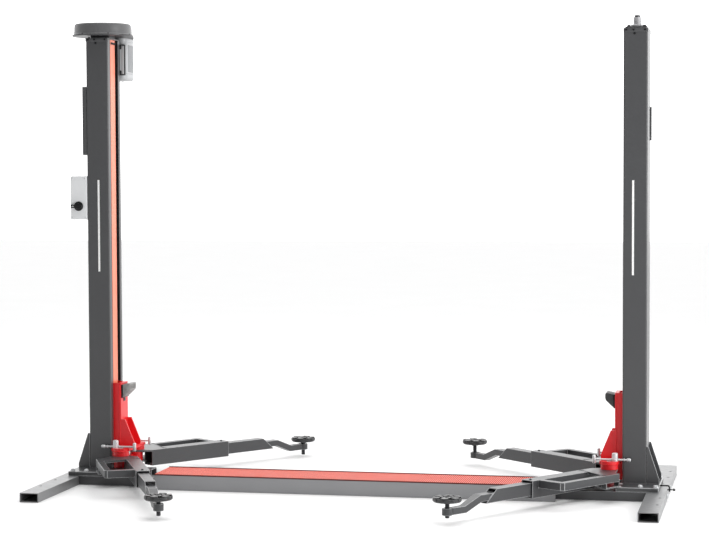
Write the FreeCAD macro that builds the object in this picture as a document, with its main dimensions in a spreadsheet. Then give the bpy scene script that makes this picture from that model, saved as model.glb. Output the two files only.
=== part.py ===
import FreeCAD, Part
import os
import re
import Sketcher
from FreeCAD import Rotation, Vector

# Two post screw lift on its own floor frame, in millimetres.
# Origin: midway between the posts at floor level. X runs from post to post, Y to the rear, Z up.

doc = FreeCAD.newDocument("two_post_lift")
sheet = doc.addObject("Spreadsheet::Sheet", "sizes")

SIZES = [
    # floor frame
    ("frame_overhang", 181, "cross tube's outer face beyond the post's middle"),
    ("cross_tube_width", 105, "cross tube, along X"),
    ("floor_tube_height", 50, "height of every floor tube"),
    ("floor_tube_wall", 4, "wall of every floor tube"),
    ("cross_tube_length", 1684, "cross tube, along Y"),
    ("frame_shift", 59, "floor frame sits this far in front of the posts"),
    ("tube_hole_radius", 9, "anchor holes in the cross tubes"),
    ("tube_hole_side", 24, "anchor holes from the tube's outer face"),
    ("tube_hole_inset", 249, "outer anchor hole from the tube's end"),
    ("tube_hole_pitch", 226, "outer to inner anchor hole"),
    ("beam_width", 100, "floor beams, along Y"),
    ("front_beam_face", 262, "front face of the front beam, before the posts' middle"),
    ("rear_beam_length", 330, "short rear beam, along X"),
    ("base_plate_thickness", 25, "plate under a post"),
    ("base_plate_land", 23, "plate in front of the post's open side"),
    ("base_plate_outer", 75, "plate beyond the post's closed side"),
    ("base_plate_front", 265, "plate's front edge before the post's middle"),
    ("base_plate_rear", 145, "plate's rear edge behind the post's middle"),
    # floor cover
    ("cover_clearance", 7, "floor channel's end to the front arm at its stop, along X"),
    ("cover_width", 279, "floor channel, along Y"),
    ("cover_front", 356, "channel's front face before the posts' middle"),
    ("cover_height", 83, "floor channel without its tread"),
    ("cover_sheet", 3, "channel's sheet"),
    ("tread_thickness", 4, "ribbed tread on the channel"),
    ("tread_inset", 4, "tread inside the channel's edges"),
    ("rest_length", 80, "blocks that carry the channel, along X"),
    ("rest_inset", 220, "outer blocks' middle inside the channel's end"),
    # posts
    ("post_spacing", 3038, "middle to middle"),
    ("post_height", 2447, "post above its plate"),
    ("post_width", 131, "post, along X"),
    ("post_depth", 217, "post, along Y"),
    ("post_wall", 5, "post's sheet"),
    ("post_lip", 40, "lips beside the open side"),
    ("post_bend", 9, "outer bend radius of the post"),
    ("gusset_thickness", 8, "foot gussets"),
    ("gusset_height", 200, "foot gussets"),
    ("gusset_foot", 68, "gusset's width on the plate"),
    ("gusset_head", 10, "gusset's width at its top"),
    ("top_plate_thickness", 8, "plate that closes a post"),
    ("bearing_size", 110, "square bearing block on the top plate"),
    ("bearing_height", 12, "bearing block"),
    ("spindle_radius", 20, "lifting spindle"),
    ("spindle_stub", 52, "spindle above the right bearing block"),
    ("cap_radius", 15, "cap on the spindle's end"),
    ("cap_height", 11, "cap on the spindle's end"),
    ("band_width", 78, "strip that closes the post's open side"),
    ("band_thickness", 2, "strip"),
    ("band_recess", 8, "strip behind the lips' outer face"),
    # drive
    ("drive_plate_thickness", 5, "plate under the belt cover"),
    ("drive_plate_radius", 173, "round end about the spindle"),
    ("drive_plate_tail", 104, "round end about the motor"),
    ("drive_cover_radius", 162, "belt cover about the spindle"),
    ("drive_cover_tail", 95, "belt cover about the motor"),
    ("drive_cover_height", 67, "belt cover"),
    ("drive_cover_round", 12, "rounded upper edge of the belt cover"),
    ("motor_offset", 226, "motor's axis behind the spindle"),
    ("motor_size", 180, "motor's width"),
    ("motor_height", 243, "motor under its plate"),
    ("motor_round", 40, "motor's corner radius"),
    # switch gear
    ("control_width", 101, "control box, out from the post"),
    ("control_depth", 200, "control box, along Y"),
    ("control_height", 248, "control box"),
    ("control_bottom", 1498, "control box above the floor"),
    ("control_front", 110, "control box's front before the post's middle"),
    ("switch_height", 1575, "rotary switch above the floor"),
    ("switch_radius", 27, "rotary switch's disc"),
    ("switch_depth", 9, "rotary switch's disc"),
    ("switch_gap", 0.3, "rotary switch before the control box"),
    ("handle_long", 37, "switch handle, outward of its axis"),
    ("handle_short", 25, "switch handle, inward of its axis"),
    ("handle_width", 14, "switch handle"),
    ("handle_depth", 18, "switch handle"),
    ("duct_width", 25, "cable duct, out from the post"),
    ("duct_depth", 40, "cable duct, along Y"),
    ("duct_front", 106, "cable duct's front before the post's middle"),
    ("duct_height", 388, "cable duct"),
    ("duct_top_gap", 268, "cable duct's top below the post's top"),
    ("limit_width", 8, "limit switch box, out from the post"),
    ("limit_depth", 30, "limit switch box, along Y"),
    ("limit_front", 104, "limit switch box's front before the post's middle"),
    ("limit_height", 183, "limit switch box"),
    ("limit_top_gap", 409, "limit switch box's top below the post's top"),
    # carriages
    ("carriage_bottom", 85, "carriage above the floor"),
    ("carriage_top", 560, "carriage's top above the floor"),
    ("carriage_width", 123, "carriage between the lips"),
    ("carriage_face", 99, "carriage's outer face from the post's middle"),
    ("carriage_wall", 10, "carriage's plates"),
    ("slider_gap", 5, "slider blocks to the post's walls"),
    ("slider_back", 20, "slider's back plate from the post's middle"),
    ("nut_width", 70, "nut block, along Y"),
    ("nut_height", 130, "nut block"),
    ("nut_bottom", 300, "nut block above the floor"),
    ("thread_clearance", 0.5, "nut block round the spindle"),
    ("face_plate_bottom", 92, "face plate above the floor"),
    ("yoke_bottom", 182, "yoke plate above the floor"),
    ("yoke_thickness", 15, "yoke plate"),
    ("yoke_reach", 185, "yoke's edge from the post's middle"),
    ("yoke_back", 80, "yoke's other edge from the post's middle"),
    ("yoke_half", 150, "yoke, along Y to each side"),
    ("rib_height", 155, "ribs above the yoke"),
    ("rib_head", 23, "ribs' width at their top"),
    ("rib_step", 25, "ribs' upright foot"),
    ("bumper_reach", 52, "door bumper, out from the carriage"),
    ("bumper_bottom", 478, "door bumper above the floor"),
    ("bumper_height", 80, "door bumper at the carriage"),
    ("bumper_width", 110, "door bumper, along Y"),
    ("bumper_rise", 40, "slope under the door bumper"),
    # arm hinges
    ("hinge_out", 132, "hinge from the post's middle, along X"),
    ("hinge_side", 140, "hinge from the post's middle, along Y"),
    ("pin_radius", 19, "hinge pin"),
    ("pin_seat", 0.05, "pin in the carriage's sleeve"),
    ("pin_clearance", 0.1, "pin in the arm's fork"),
    ("pin_bottom", 58, "hinge pin above the floor"),
    ("pin_top", 196, "hinge pin's upper end"),
    ("nut_radius", 30, "nut under the hinge pin"),
    ("sleeve_radius", 38, "carriage's sleeve round the hinge pin"),
    ("boss_radius", 47, "carriage's boss over the arm"),
    ("fork_gap", 0.3, "sleeve to the fork's plates"),
    ("web_thickness", 30, "web that carries the sleeves"),
    ("web_edge", 125, "web's edge from the post's middle"),
    ("lock_out", 102, "arm lock from the post's middle, along X"),
    ("lock_radius", 16, "arm lock's housing"),
    ("lock_height", 46, "arm lock's housing"),
    ("bar_radius", 5.5, "cross bar of the arm lock"),
    ("bar_height", 8, "cross bar above the yoke plate"),
    ("bar_outer", 62, "cross bar towards the post"),
    ("bar_inner", 112, "cross bar towards the middle"),
    ("bar_knob", 9.5, "knob's radius on the cross bar"),
    ("bar_knob_length", 24, "knob on the cross bar"),
    # arms
    ("arm_bottom", 61, "arm tube above the floor"),
    ("arm_height", 93, "arm tube"),
    ("arm_width", 78, "arm tube"),
    ("arm_offset", 53, "arm tube's middle inward of the hinge"),
    ("arm_wall", 5, "arm tube's wall"),
    ("arm_root", 47, "arm tube's inner end from the hinge"),
    ("arm_length", 612, "arm tube's outer end from the hinge"),
    ("fork_top_thickness", 11, "fork's upper plate"),
    ("fork_bottom", 81, "fork's lower plate above the floor"),
    ("fork_bottom_thickness", 8, "fork's lower plate"),
    ("fork_eye", 42, "fork's edge round the hinge"),
    ("fork_near", 150, "fork's far edge on the tube, from the hinge"),
    ("fork_far", 210, "fork's far edge on the strut, from the hinge"),
    ("fork_heel", 85, "fork's near edge beside the strut, from the hinge"),
    ("strut_bottom", 112, "outrigger strut above the floor"),
    ("strut_width", 35, "outrigger strut"),
    ("strut_out", 151, "strut's outer face outward of the hinge"),
    ("strut_start", 100, "strut's near end from the hinge"),
    ("strut_end", 566, "strut's cross piece, outer face from the hinge"),
    ("strut_mitre", 16, "strut's cut corner"),
    ("rail_width", 10, "slide rails in the arm tube"),
    ("rail_gap", 0.3, "extension over its slide rails"),
    # extensions
    ("slide_gap", 5, "extension inside the arm tube, each side"),
    ("slide_rise", 7.5, "extension inside the arm tube, over and under"),
    ("extension_wall", 4, "extension tube's wall"),
    ("extension_tail", 870, "extension's inner end from the pad"),
    ("extension_top_end", 341, "extension's upper end from the pad"),
    ("extension_low_end", 259, "extension's lower end from the pad"),
    ("neck_thickness", 36, "bent bar that carries the pad"),
    ("neck_start", 104, "bar's middle inside the tube, above the floor"),
    ("neck_end", 60, "bar's middle at the pad, above the floor"),
    ("neck_bend", 232, "bar's upper bend from the pad"),
    ("neck_foot", 120, "bar's lower bend from the pad"),
    ("neck_tail", 380, "bar's end inside the tube, from the pad"),
    ("neck_tip", 16, "bar's half width at the pad"),
    ("holder_radius", 27, "pad holder"),
    ("holder_height", 36, "pad holder"),
    ("holder_bottom", 42, "pad holder above the floor"),
    ("screw_radius", 12, "pad's screw"),
    ("screw_clearance", 0.1, "pad's screw in its holder"),
    ("screw_bottom", 10, "pad's lowered screw above the floor"),
    ("pad_radius", 73, "pad"),
    ("pad_bottom", 91, "lowered pad above the floor"),
    ("pad_height", 27, "pad"),
    ("pad_hub", 8, "hub under the pad"),
    ("pad_hub_radius", 21, "hub under the pad"),
    ("pad_edge", 6, "bevel under the pad"),
    ("pad_dish", 9, "recess in the pad's top"),
    ("pad_rim", 14, "pad's raised rim"),
    # arm positions
    ("front_stop", 34.5, "front arm's swing towards the floor channel, in degrees"),
    ("reach_left_front", 1263, "pad from the hinge, along the arm"),
    ("reach_left_rear", 1231, "pad from the hinge, along the arm"),
    ("reach_right_front", 1217, "pad from the hinge, along the arm"),
    ("reach_right_rear", 1190, "pad from the hinge, along the arm"),
    ("angle_left_front", 25, "arm's swing from straight ahead, in degrees"),
    ("angle_left_rear", 36.1, "arm's swing from straight back, in degrees"),
    ("angle_right_front", 34, "arm's swing from straight ahead, in degrees"),
    ("angle_right_rear", 46.4, "arm's swing from straight back, in degrees"),
    ("raise_left_front", 6, "pad's screw turned out of its holder"),
    ("raise_left_rear", 0, "pad's screw turned out of its holder"),
    ("raise_right_front", 18, "pad's screw turned out of its holder"),
    ("raise_right_rear", 35, "pad's screw turned out of its holder"),
]

for row, (alias, number, note) in enumerate(SIZES, start=1):
    sheet.set(f"A{row}", alias)
    sheet.set(f"B{row}", str(number))
    sheet.set(f"C{row}", note)
    sheet.setAlias(f"B{row}", alias)
doc.recompute()

ALIASES = {alias for alias, number, note in SIZES}
PARTS = []
CORNERS = {}


def bound(text):
    """Turn a formula of size names into an expression on the sheet."""
    return re.sub(r"[a-z_]+", lambda m: "sizes." + m.group() if m.group() in ALIASES else m.group(), text)


def tie(obj, prop, text):
    obj.setExpression(prop, bound(text))


def keep(obj, label):
    """Mark an object as a sub-part, which is written to a file."""
    obj.Label = label
    PARTS.append(obj)
    return obj


def box(name, x, y, z):
    """Block between two formulas along each axis."""
    block = doc.addObject("Part::Box", name)
    for size, axis, (low, high) in (("Length", "x", x), ("Width", "y", y), ("Height", "z", z)):
        tie(block, size, f"({high}) - ({low})")
        tie(block, f"Placement.Base.{axis}", low)
    CORNERS[block.Name] = (x[0], y[0])
    return block


def rod(name, x, y, z, radius):
    """Upright cylinder between two heights."""
    turned = doc.addObject("Part::Cylinder", name)
    tie(turned, "Radius", radius)
    tie(turned, "Height", f"({z[1]}) - ({z[0]})")
    tie(turned, "Placement.Base.x", x)
    tie(turned, "Placement.Base.y", y)
    tie(turned, "Placement.Base.z", z[0])
    return turned


def bar(name, x, y, z, radius):
    """Level cylinder along X between two places."""
    turned = doc.addObject("Part::Cylinder", name)
    turned.Placement.Rotation = Rotation(Vector(0, 1, 0), 90)
    tie(turned, "Radius", radius)
    tie(turned, "Height", f"({x[1]}) - ({x[0]})")
    tie(turned, "Placement.Base.x", x[0])
    tie(turned, "Placement.Base.y", y)
    tie(turned, "Placement.Base.z", z)
    return turned


def fuse(name, pieces):
    joined = doc.addObject("Part::MultiFuse", name)
    joined.Shapes = pieces
    joined.Refine = True
    return joined


def cut(name, base, tool):
    left = doc.addObject("Part::Cut", name)
    left.Base = base
    left.Tool = tool
    left.Refine = True
    return left


def body(name):
    return doc.addObject("PartDesign::Body", name)


def sketch(owner, role, name, offset=None):
    """Sketch on one of the body's own origin planes."""
    drawing = owner.newObject("Sketcher::SketchObject", name)
    plane = next(f for f in owner.Origin.OriginFeatures if f.Role == role)
    drawing.AttachmentSupport = [(plane, "")]
    drawing.MapMode = "FlatFace"
    if offset:
        tie(drawing, "AttachmentOffset.Base.z", offset)
    return drawing


def value(text):
    """Number that a formula of size names gives."""
    probe = sheet.evalExpression(bound(text))
    return float(getattr(probe, "Value", probe))


def outline(drawing, corners):
    """Closed polygon whose corners are tied to formulas."""
    first = drawing.GeometryCount
    spots = [Vector(value(x), value(y), 0) for x, y in corners]
    count = len(corners)
    for i in range(count):
        drawing.addGeometry(Part.LineSegment(spots[i], spots[(i + 1) % count]), False)
    for i in range(count):
        line = first + i
        after = first + (i + 1) % count
        drawing.addConstraint(Sketcher.Constraint("Coincident", line, 2, after, 1))
    for i, (x, y) in enumerate(corners):
        line = first + i
        across = drawing.addConstraint(Sketcher.Constraint("DistanceX", -1, 1, line, 1, spots[i].x))
        tie(drawing, f"Constraints[{across}]", x)
        up = drawing.addConstraint(Sketcher.Constraint("DistanceY", -1, 1, line, 1, spots[i].y))
        tie(drawing, f"Constraints[{up}]", y)
    return drawing


def pad(owner, name, drawing, length, middle=False, back=False):
    raised = owner.newObject("PartDesign::Pad", name)
    raised.Profile = drawing
    tie(raised, "Length", length)
    raised.Midplane = middle
    raised.Reversed = back
    return raised


def pocket(owner, name, drawing, back=False):
    """Cut that runs right through, both ways."""
    sunk = owner.newObject("PartDesign::Pocket", name)
    sunk.Profile = drawing
    sunk.Type = "ThroughAll"
    sunk.Midplane = True
    sunk.Reversed = back
    return sunk


def edges_where(feature, test):
    """Names of the feature's edges that pass a test."""
    return [f"Edge{i}" for i, edge in enumerate(feature.Shape.Edges, start=1) if test(edge)]


def fillet(owner, name, base, edges, radius):
    rounded = owner.newObject("PartDesign::Fillet", name)
    rounded.Base = (base, edges)
    tie(rounded, "Radius", radius)
    return rounded


def runs_up(edge):
    """True for a straight upright edge."""
    return edge.Curve.TypeId == "Part::GeomLine" and abs(edge.tangentAt(edge.FirstParameter).z) > 0.999


SIDES = {"left": -1, "right": 1}
PLATE_TOP = "(floor_tube_height + base_plate_thickness)"
POST_TOP = f"({PLATE_TOP} + post_height)"
BEARING_TOP = f"({POST_TOP} + top_plate_thickness + bearing_height)"
POST_HALF = "(post_width / 2)"
LIP_INNER = f"({POST_HALF} - post_wall)"
FRAME_HALF = "(post_spacing / 2 + frame_overhang)"
ARM_SIDE = "(arm_offset + arm_width / 2)"
STOP_ALONG = f"((cover_front - hinge_side + {ARM_SIDE} * sin(front_stop * 1 deg)) / cos(front_stop * 1 deg))"
STOP_INWARD = f"({STOP_ALONG} * sin(front_stop * 1 deg) + {ARM_SIDE} * cos(front_stop * 1 deg))"
COVER_HALF = f"(post_spacing / 2 - hinge_out - {STOP_INWARD} - cover_clearance)"
OVERSHOOT = "1"
FORK_LOW_TOP = "(fork_bottom + fork_bottom_thickness)"
ARM_TOP = "(arm_bottom + arm_height)"
FORK_TOP_LOW = f"({ARM_TOP} - fork_top_thickness)"
YOKE_TOP = "(yoke_bottom + yoke_thickness)"
WEB_LOW = f"(({FORK_LOW_TOP} + {FORK_TOP_LOW} - web_thickness) / 2)"


def stand(obj, side):
    """Put a piece drawn about a post's middle, with the open side at +X, at its post."""
    x, y = CORNERS.get(obj.Name, ("0", "0"))
    if side == "left":
        tie(obj, "Placement.Base.x", f"-post_spacing / 2 + ({x})")
        tie(obj, "Placement.Base.y", y)
    else:
        obj.Placement.Rotation = Rotation(Vector(0, 0, 1), 180)
        tie(obj, "Placement.Base.x", f"post_spacing / 2 - ({x})")
        tie(obj, "Placement.Base.y", f"-({y})")


def floor_tube(name, label, x, y, along_y):
    """Rectangular floor tube, open at both ends."""
    skin = "floor_tube_wall"
    outer = box(name + "_outer", x, y, ("0", "floor_tube_height"))
    if along_y:
        hollow_x = (f"({x[0]}) + {skin}", f"({x[1]}) - {skin}")
        hollow_y = (f"({y[0]}) - {skin}", f"({y[1]}) + {skin}")
    else:
        hollow_x = (f"({x[0]}) - {skin}", f"({x[1]}) + {skin}")
        hollow_y = (f"({y[0]}) + {skin}", f"({y[1]}) - {skin}")
    inner = box(name + "_inner", hollow_x, hollow_y, (skin, f"floor_tube_height - {skin}"))
    return cut(label, outer, inner)


def make_floor_frame():
    for side, sign in SIDES.items():
        face = f"{sign} * {FRAME_HALF}"
        inside = f"{sign} * ({FRAME_HALF} - cross_tube_width)"
        x = (face, inside) if sign < 0 else (inside, face)
        y = ("-frame_shift - cross_tube_length / 2", "-frame_shift + cross_tube_length / 2")
        tube = floor_tube(f"{side}_cross", f"{side}_cross_tube_hollow", x, y, True)
        middle = f"{sign} * ({FRAME_HALF} - tube_hole_side)"
        through = (f"-{OVERSHOOT}", f"floor_tube_height + {OVERSHOOT}")
        holes = []
        for end in (-1, 1):
            for step in (0, 1):
                inset = f"(tube_hole_inset + {step} * tube_hole_pitch)"
                place = f"-frame_shift + {end} * (cross_tube_length / 2 - {inset})"
                holes.append(rod(f"{side}_hole", middle, place, through, "tube_hole_radius"))
        keep(cut(f"{side}_cross_tube_drilled", tube, fuse(f"{side}_holes", holes)), f"{side}_cross_tube")
    inside = f"({FRAME_HALF} - cross_tube_width)"
    front = ("-front_beam_face", "-front_beam_face + beam_width")
    keep(floor_tube("front_beam", "front_beam_tube", (f"-{inside}", inside), front, False), "front_floor_beam")
    rests = []
    for step in (-1, 0, 1):
        middle = f"{step} * ({COVER_HALF} - rest_inset)"
        along = (f"{middle} - rest_length / 2", f"{middle} + rest_length / 2")
        rests.append(box("channel_rest", along, front, ("floor_tube_height", "cover_height - cover_sheet")))
    keep(fuse("three_rests", rests), "floor_channel_rests")
    rear = ("base_plate_rear - beam_width", "base_plate_rear")
    short = [
        floor_tube("rear_left", "rear_beam_left", (f"-{inside}", f"-{inside} + rear_beam_length"), rear, False),
        floor_tube("rear_right", "rear_beam_right", (f"{inside} - rear_beam_length", inside), rear, False),
    ]
    keep(fuse("rear_floor_beams", short), "rear_floor_beams")
    for side, sign in SIDES.items():
        near = f"{sign} * (post_spacing / 2 - {POST_HALF} - base_plate_land)"
        far = f"{sign} * (post_spacing / 2 + {POST_HALF} + base_plate_outer)"
        x = (far, near) if sign < 0 else (near, far)
        y = ("-base_plate_front", "base_plate_rear")
        plate = box(f"{side}_plate", x, y, ("floor_tube_height", PLATE_TOP))
        keep(plate, f"{side}_base_plate")


def make_floor_cover():
    owner = body("floor_channel")
    drawing = sketch(owner, "YZ_Plane", "channel_section")
    front = "-cover_front"
    rear = "(cover_width - cover_front)"
    outline(drawing, [
        (front, "0"), (f"{front} + cover_sheet", "0"),
        (f"{front} + cover_sheet", "cover_height - cover_sheet"),
        (f"{rear} - cover_sheet", "cover_height - cover_sheet"),
        (f"{rear} - cover_sheet", "0"), (rear, "0"), (rear, "cover_height"), (front, "cover_height"),
    ])
    pad(owner, "channel_run", drawing, f"2 * {COVER_HALF}", middle=True)
    keep(owner, "floor_channel")
    y = ("tread_inset - cover_front", f"{rear} - tread_inset")
    tread = box("tread", (f"-{COVER_HALF}", COVER_HALF), y, ("cover_height", "cover_height + tread_thickness"))
    keep(tread, "floor_tread")


def make_post(side):
    owner = body(f"{side}_post_section")
    drawing = sketch(owner, "XY_Plane", f"{side}_post_outline", PLATE_TOP)
    half = "post_depth / 2"
    lip = f"({half} - post_lip)"
    outline(drawing, [
        (f"-{POST_HALF}", f"-{half}"), (POST_HALF, f"-{half}"), (POST_HALF, f"-{lip}"), (LIP_INNER, f"-{lip}"),
        (LIP_INNER, f"-{half} + post_wall"), (f"-{POST_HALF} + post_wall", f"-{half} + post_wall"),
        (f"-{POST_HALF} + post_wall", f"{half} - post_wall"), (LIP_INNER, f"{half} - post_wall"),
        (LIP_INNER, lip), (POST_HALF, lip), (POST_HALF, half), (f"-{POST_HALF}", half),
    ])
    run = pad(owner, f"{side}_post_run", drawing, "post_height")
    doc.recompute()

    def bends(feature, x, y):
        """Upright edges at the four corners so far from the post's middle."""
        def at_corner(edge):
            spot = edge.Vertexes[0].Point
            return runs_up(edge) and abs(abs(spot.x) - value(x)) < 0.01 and abs(abs(spot.y) - value(y)) < 0.01
        return edges_where(feature, at_corner)

    inside = fillet(owner, f"{side}_post_inner_bends", run, bends(run, LIP_INNER, f"{half} - post_wall"),
                    "post_bend - post_wall")
    doc.recompute()
    fillet(owner, f"{side}_post_outer_bends", inside, bends(inside, POST_HALF, half), "post_bend")
    stand(owner, side)
    keep(owner, f"{side}_post")


def make_gussets():
    for side in SIDES:
        plates = []
        for edge, start in (("front", "-post_depth / 2"), ("rear", "post_depth / 2 - gusset_thickness")):
            owner = body(f"{side}_{edge}_gusset")
            drawing = sketch(owner, "XZ_Plane", f"{side}_{edge}_gusset_outline", f"-({start})")
            outline(drawing, [
                (f"-{POST_HALF}", PLATE_TOP), (f"-{POST_HALF}", f"{PLATE_TOP} + gusset_height"),
                (f"-{POST_HALF} - gusset_head", f"{PLATE_TOP} + gusset_height"),
                (f"-{POST_HALF} - gusset_foot", f"{PLATE_TOP} + base_plate_thickness"),
                (f"-{POST_HALF} - gusset_foot", PLATE_TOP),
            ])
            pad(owner, f"{side}_{edge}_gusset_plate", drawing, "gusset_thickness", back=True)
            plates.append(owner)
        pair = fuse(f"{side}_gusset_pair", plates)
        stand(pair, side)
        keep(pair, f"{side}_post_gussets")


def make_post_top(side):
    plate = box(f"{side}_plate_top", (f"-{POST_HALF}", POST_HALF), ("-post_depth / 2", "post_depth / 2"),
                (POST_TOP, f"{POST_TOP} + top_plate_thickness"))
    square = ("-bearing_size / 2", "bearing_size / 2")
    block = box(f"{side}_bearing", square, square, (f"{POST_TOP} + top_plate_thickness", BEARING_TOP))
    bore = rod(f"{side}_bearing_bore", "0", "0", (f"{POST_TOP} - {OVERSHOOT}", f"{BEARING_TOP} + {OVERSHOOT}"),
               "spindle_radius + thread_clearance")
    head = cut(f"{side}_head", fuse(f"{side}_head_blank", [plate, block]), bore)
    stand(head, side)
    keep(head, f"{side}_top_plate")


def make_spindles():
    ends = {"left": BEARING_TOP, "right": f"{BEARING_TOP} + spindle_stub"}
    for side, top in ends.items():
        spindle = rod(f"{side}_screw", "0", "0", (PLATE_TOP, top), "spindle_radius")
        stand(spindle, side)
        keep(spindle, f"{side}_spindle")
    cap = rod("end_cap", "0", "0", (ends["right"], f"{ends['right']} + cap_height"), "cap_radius")
    stand(cap, "right")
    keep(cap, "right_spindle_cap")
    for side in SIDES:
        outer = f"{POST_HALF} - band_recess"
        band = box(f"{side}_strip", (f"{outer} - band_thickness", outer), ("-band_width / 2", "band_width / 2"),
                   (PLATE_TOP, POST_TOP))
        stand(band, side)
        keep(band, f"{side}_cover_band")


def egg(name, low, high, front, tail):
    """Upright housing whose plan is the hull of two circles, about the spindle and the motor."""
    shape = doc.addObject("Part::Feature", name)
    gap = value("motor_offset")
    big = value(front)
    small = value(tail)
    slope = (big - small) / gap
    across = (1 - slope * slope) ** 0.5
    big_right = Vector(big * across, big * slope, 0)
    small_right = Vector(small * across, gap + small * slope, 0)
    mirror = [Vector(-p.x, p.y, 0) for p in (big_right, small_right)]
    wire = Part.Wire([
        Part.Arc(big_right, Vector(0, -big, 0), mirror[0]).toShape(),
        Part.LineSegment(mirror[0], mirror[1]).toShape(),
        Part.Arc(mirror[1], Vector(0, gap + small, 0), small_right).toShape(),
        Part.LineSegment(small_right, big_right).toShape(),
    ])
    solid = Part.Face(wire).extrude(Vector(0, 0, value(high) - value(low)))
    solid.translate(Vector(0, 0, value(low)))
    shape.Shape = solid
    return shape


def make_drive():
    plate_top = f"({BEARING_TOP} + drive_plate_thickness)"
    plate = egg("drive_plate_shape", BEARING_TOP, plate_top, "drive_plate_radius", "drive_plate_tail")
    stand(plate, "left")
    keep(plate, "drive_plate")
    housing = egg("drive_cover_shape", plate_top, f"{plate_top} + drive_cover_height", "drive_cover_radius",
                  "drive_cover_tail")
    solid = housing.Shape
    top = max(v.Point.z for v in solid.Vertexes)
    upper = [e for e in solid.Edges if all(abs(v.Point.z - top) < 0.01 for v in e.Vertexes)]
    housing.Shape = solid.makeFillet(value("drive_cover_round"), upper)
    stand(housing, "left")
    keep(housing, "drive_cover")
    owner = body("motor_body")
    drawing = sketch(owner, "XY_Plane", "motor_outline", f"{BEARING_TOP} - motor_height")
    half = "motor_size / 2"
    outline(drawing, [
        (f"-{half}", f"motor_offset - {half}"), (half, f"motor_offset - {half}"),
        (half, f"motor_offset + {half}"), (f"-{half}", f"motor_offset + {half}"),
    ])
    run = pad(owner, "motor_run", drawing, "motor_height")
    doc.recompute()
    fillet(owner, "motor_corners", run, edges_where(run, runs_up), "motor_round")
    stand(owner, "left")
    keep(owner, "motor")


def make_switch_gear():
    outer = f"-{POST_HALF}"
    across = (f"{outer} - control_width", outer)
    deep = ("-control_front", "control_depth - control_front")
    control = box("control", across, deep, ("control_bottom", "control_bottom + control_height"))
    stand(control, "left")
    keep(control, "control_box")
    middle = f"-({POST_HALF} + control_width / 2)"
    disc = doc.addObject("Part::Cylinder", "switch_disc")
    disc.Placement.Rotation = Rotation(Vector(1, 0, 0), 90)
    tie(disc, "Radius", "switch_radius")
    tie(disc, "Height", "switch_depth")
    tie(disc, "Placement.Base.x", middle)
    tie(disc, "Placement.Base.y", "-control_front - switch_gap")
    tie(disc, "Placement.Base.z", "switch_height")
    disc_face = "-control_front - switch_gap - switch_depth"
    grip = box("switch_grip", (f"{middle} - handle_long", f"{middle} + handle_short"),
               (f"{disc_face} - handle_depth", disc_face),
               ("switch_height - handle_width / 2", "switch_height + handle_width / 2"))
    knob = fuse("switch", [disc, grip])
    stand(knob, "left")
    keep(knob, "main_switch")
    duct = box("duct", (f"{outer} - duct_width", outer), ("-duct_front", "duct_depth - duct_front"),
               (f"{POST_TOP} - duct_top_gap - duct_height", f"{POST_TOP} - duct_top_gap"))
    stand(duct, "left")
    keep(duct, "cable_duct")
    limit = box("limit", (f"{outer} - limit_width", outer), ("-limit_front", "limit_depth - limit_front"),
                (f"{POST_TOP} - limit_top_gap - limit_height", f"{POST_TOP} - limit_top_gap"))
    stand(limit, "right")
    keep(limit, "limit_switch_box")


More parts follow.
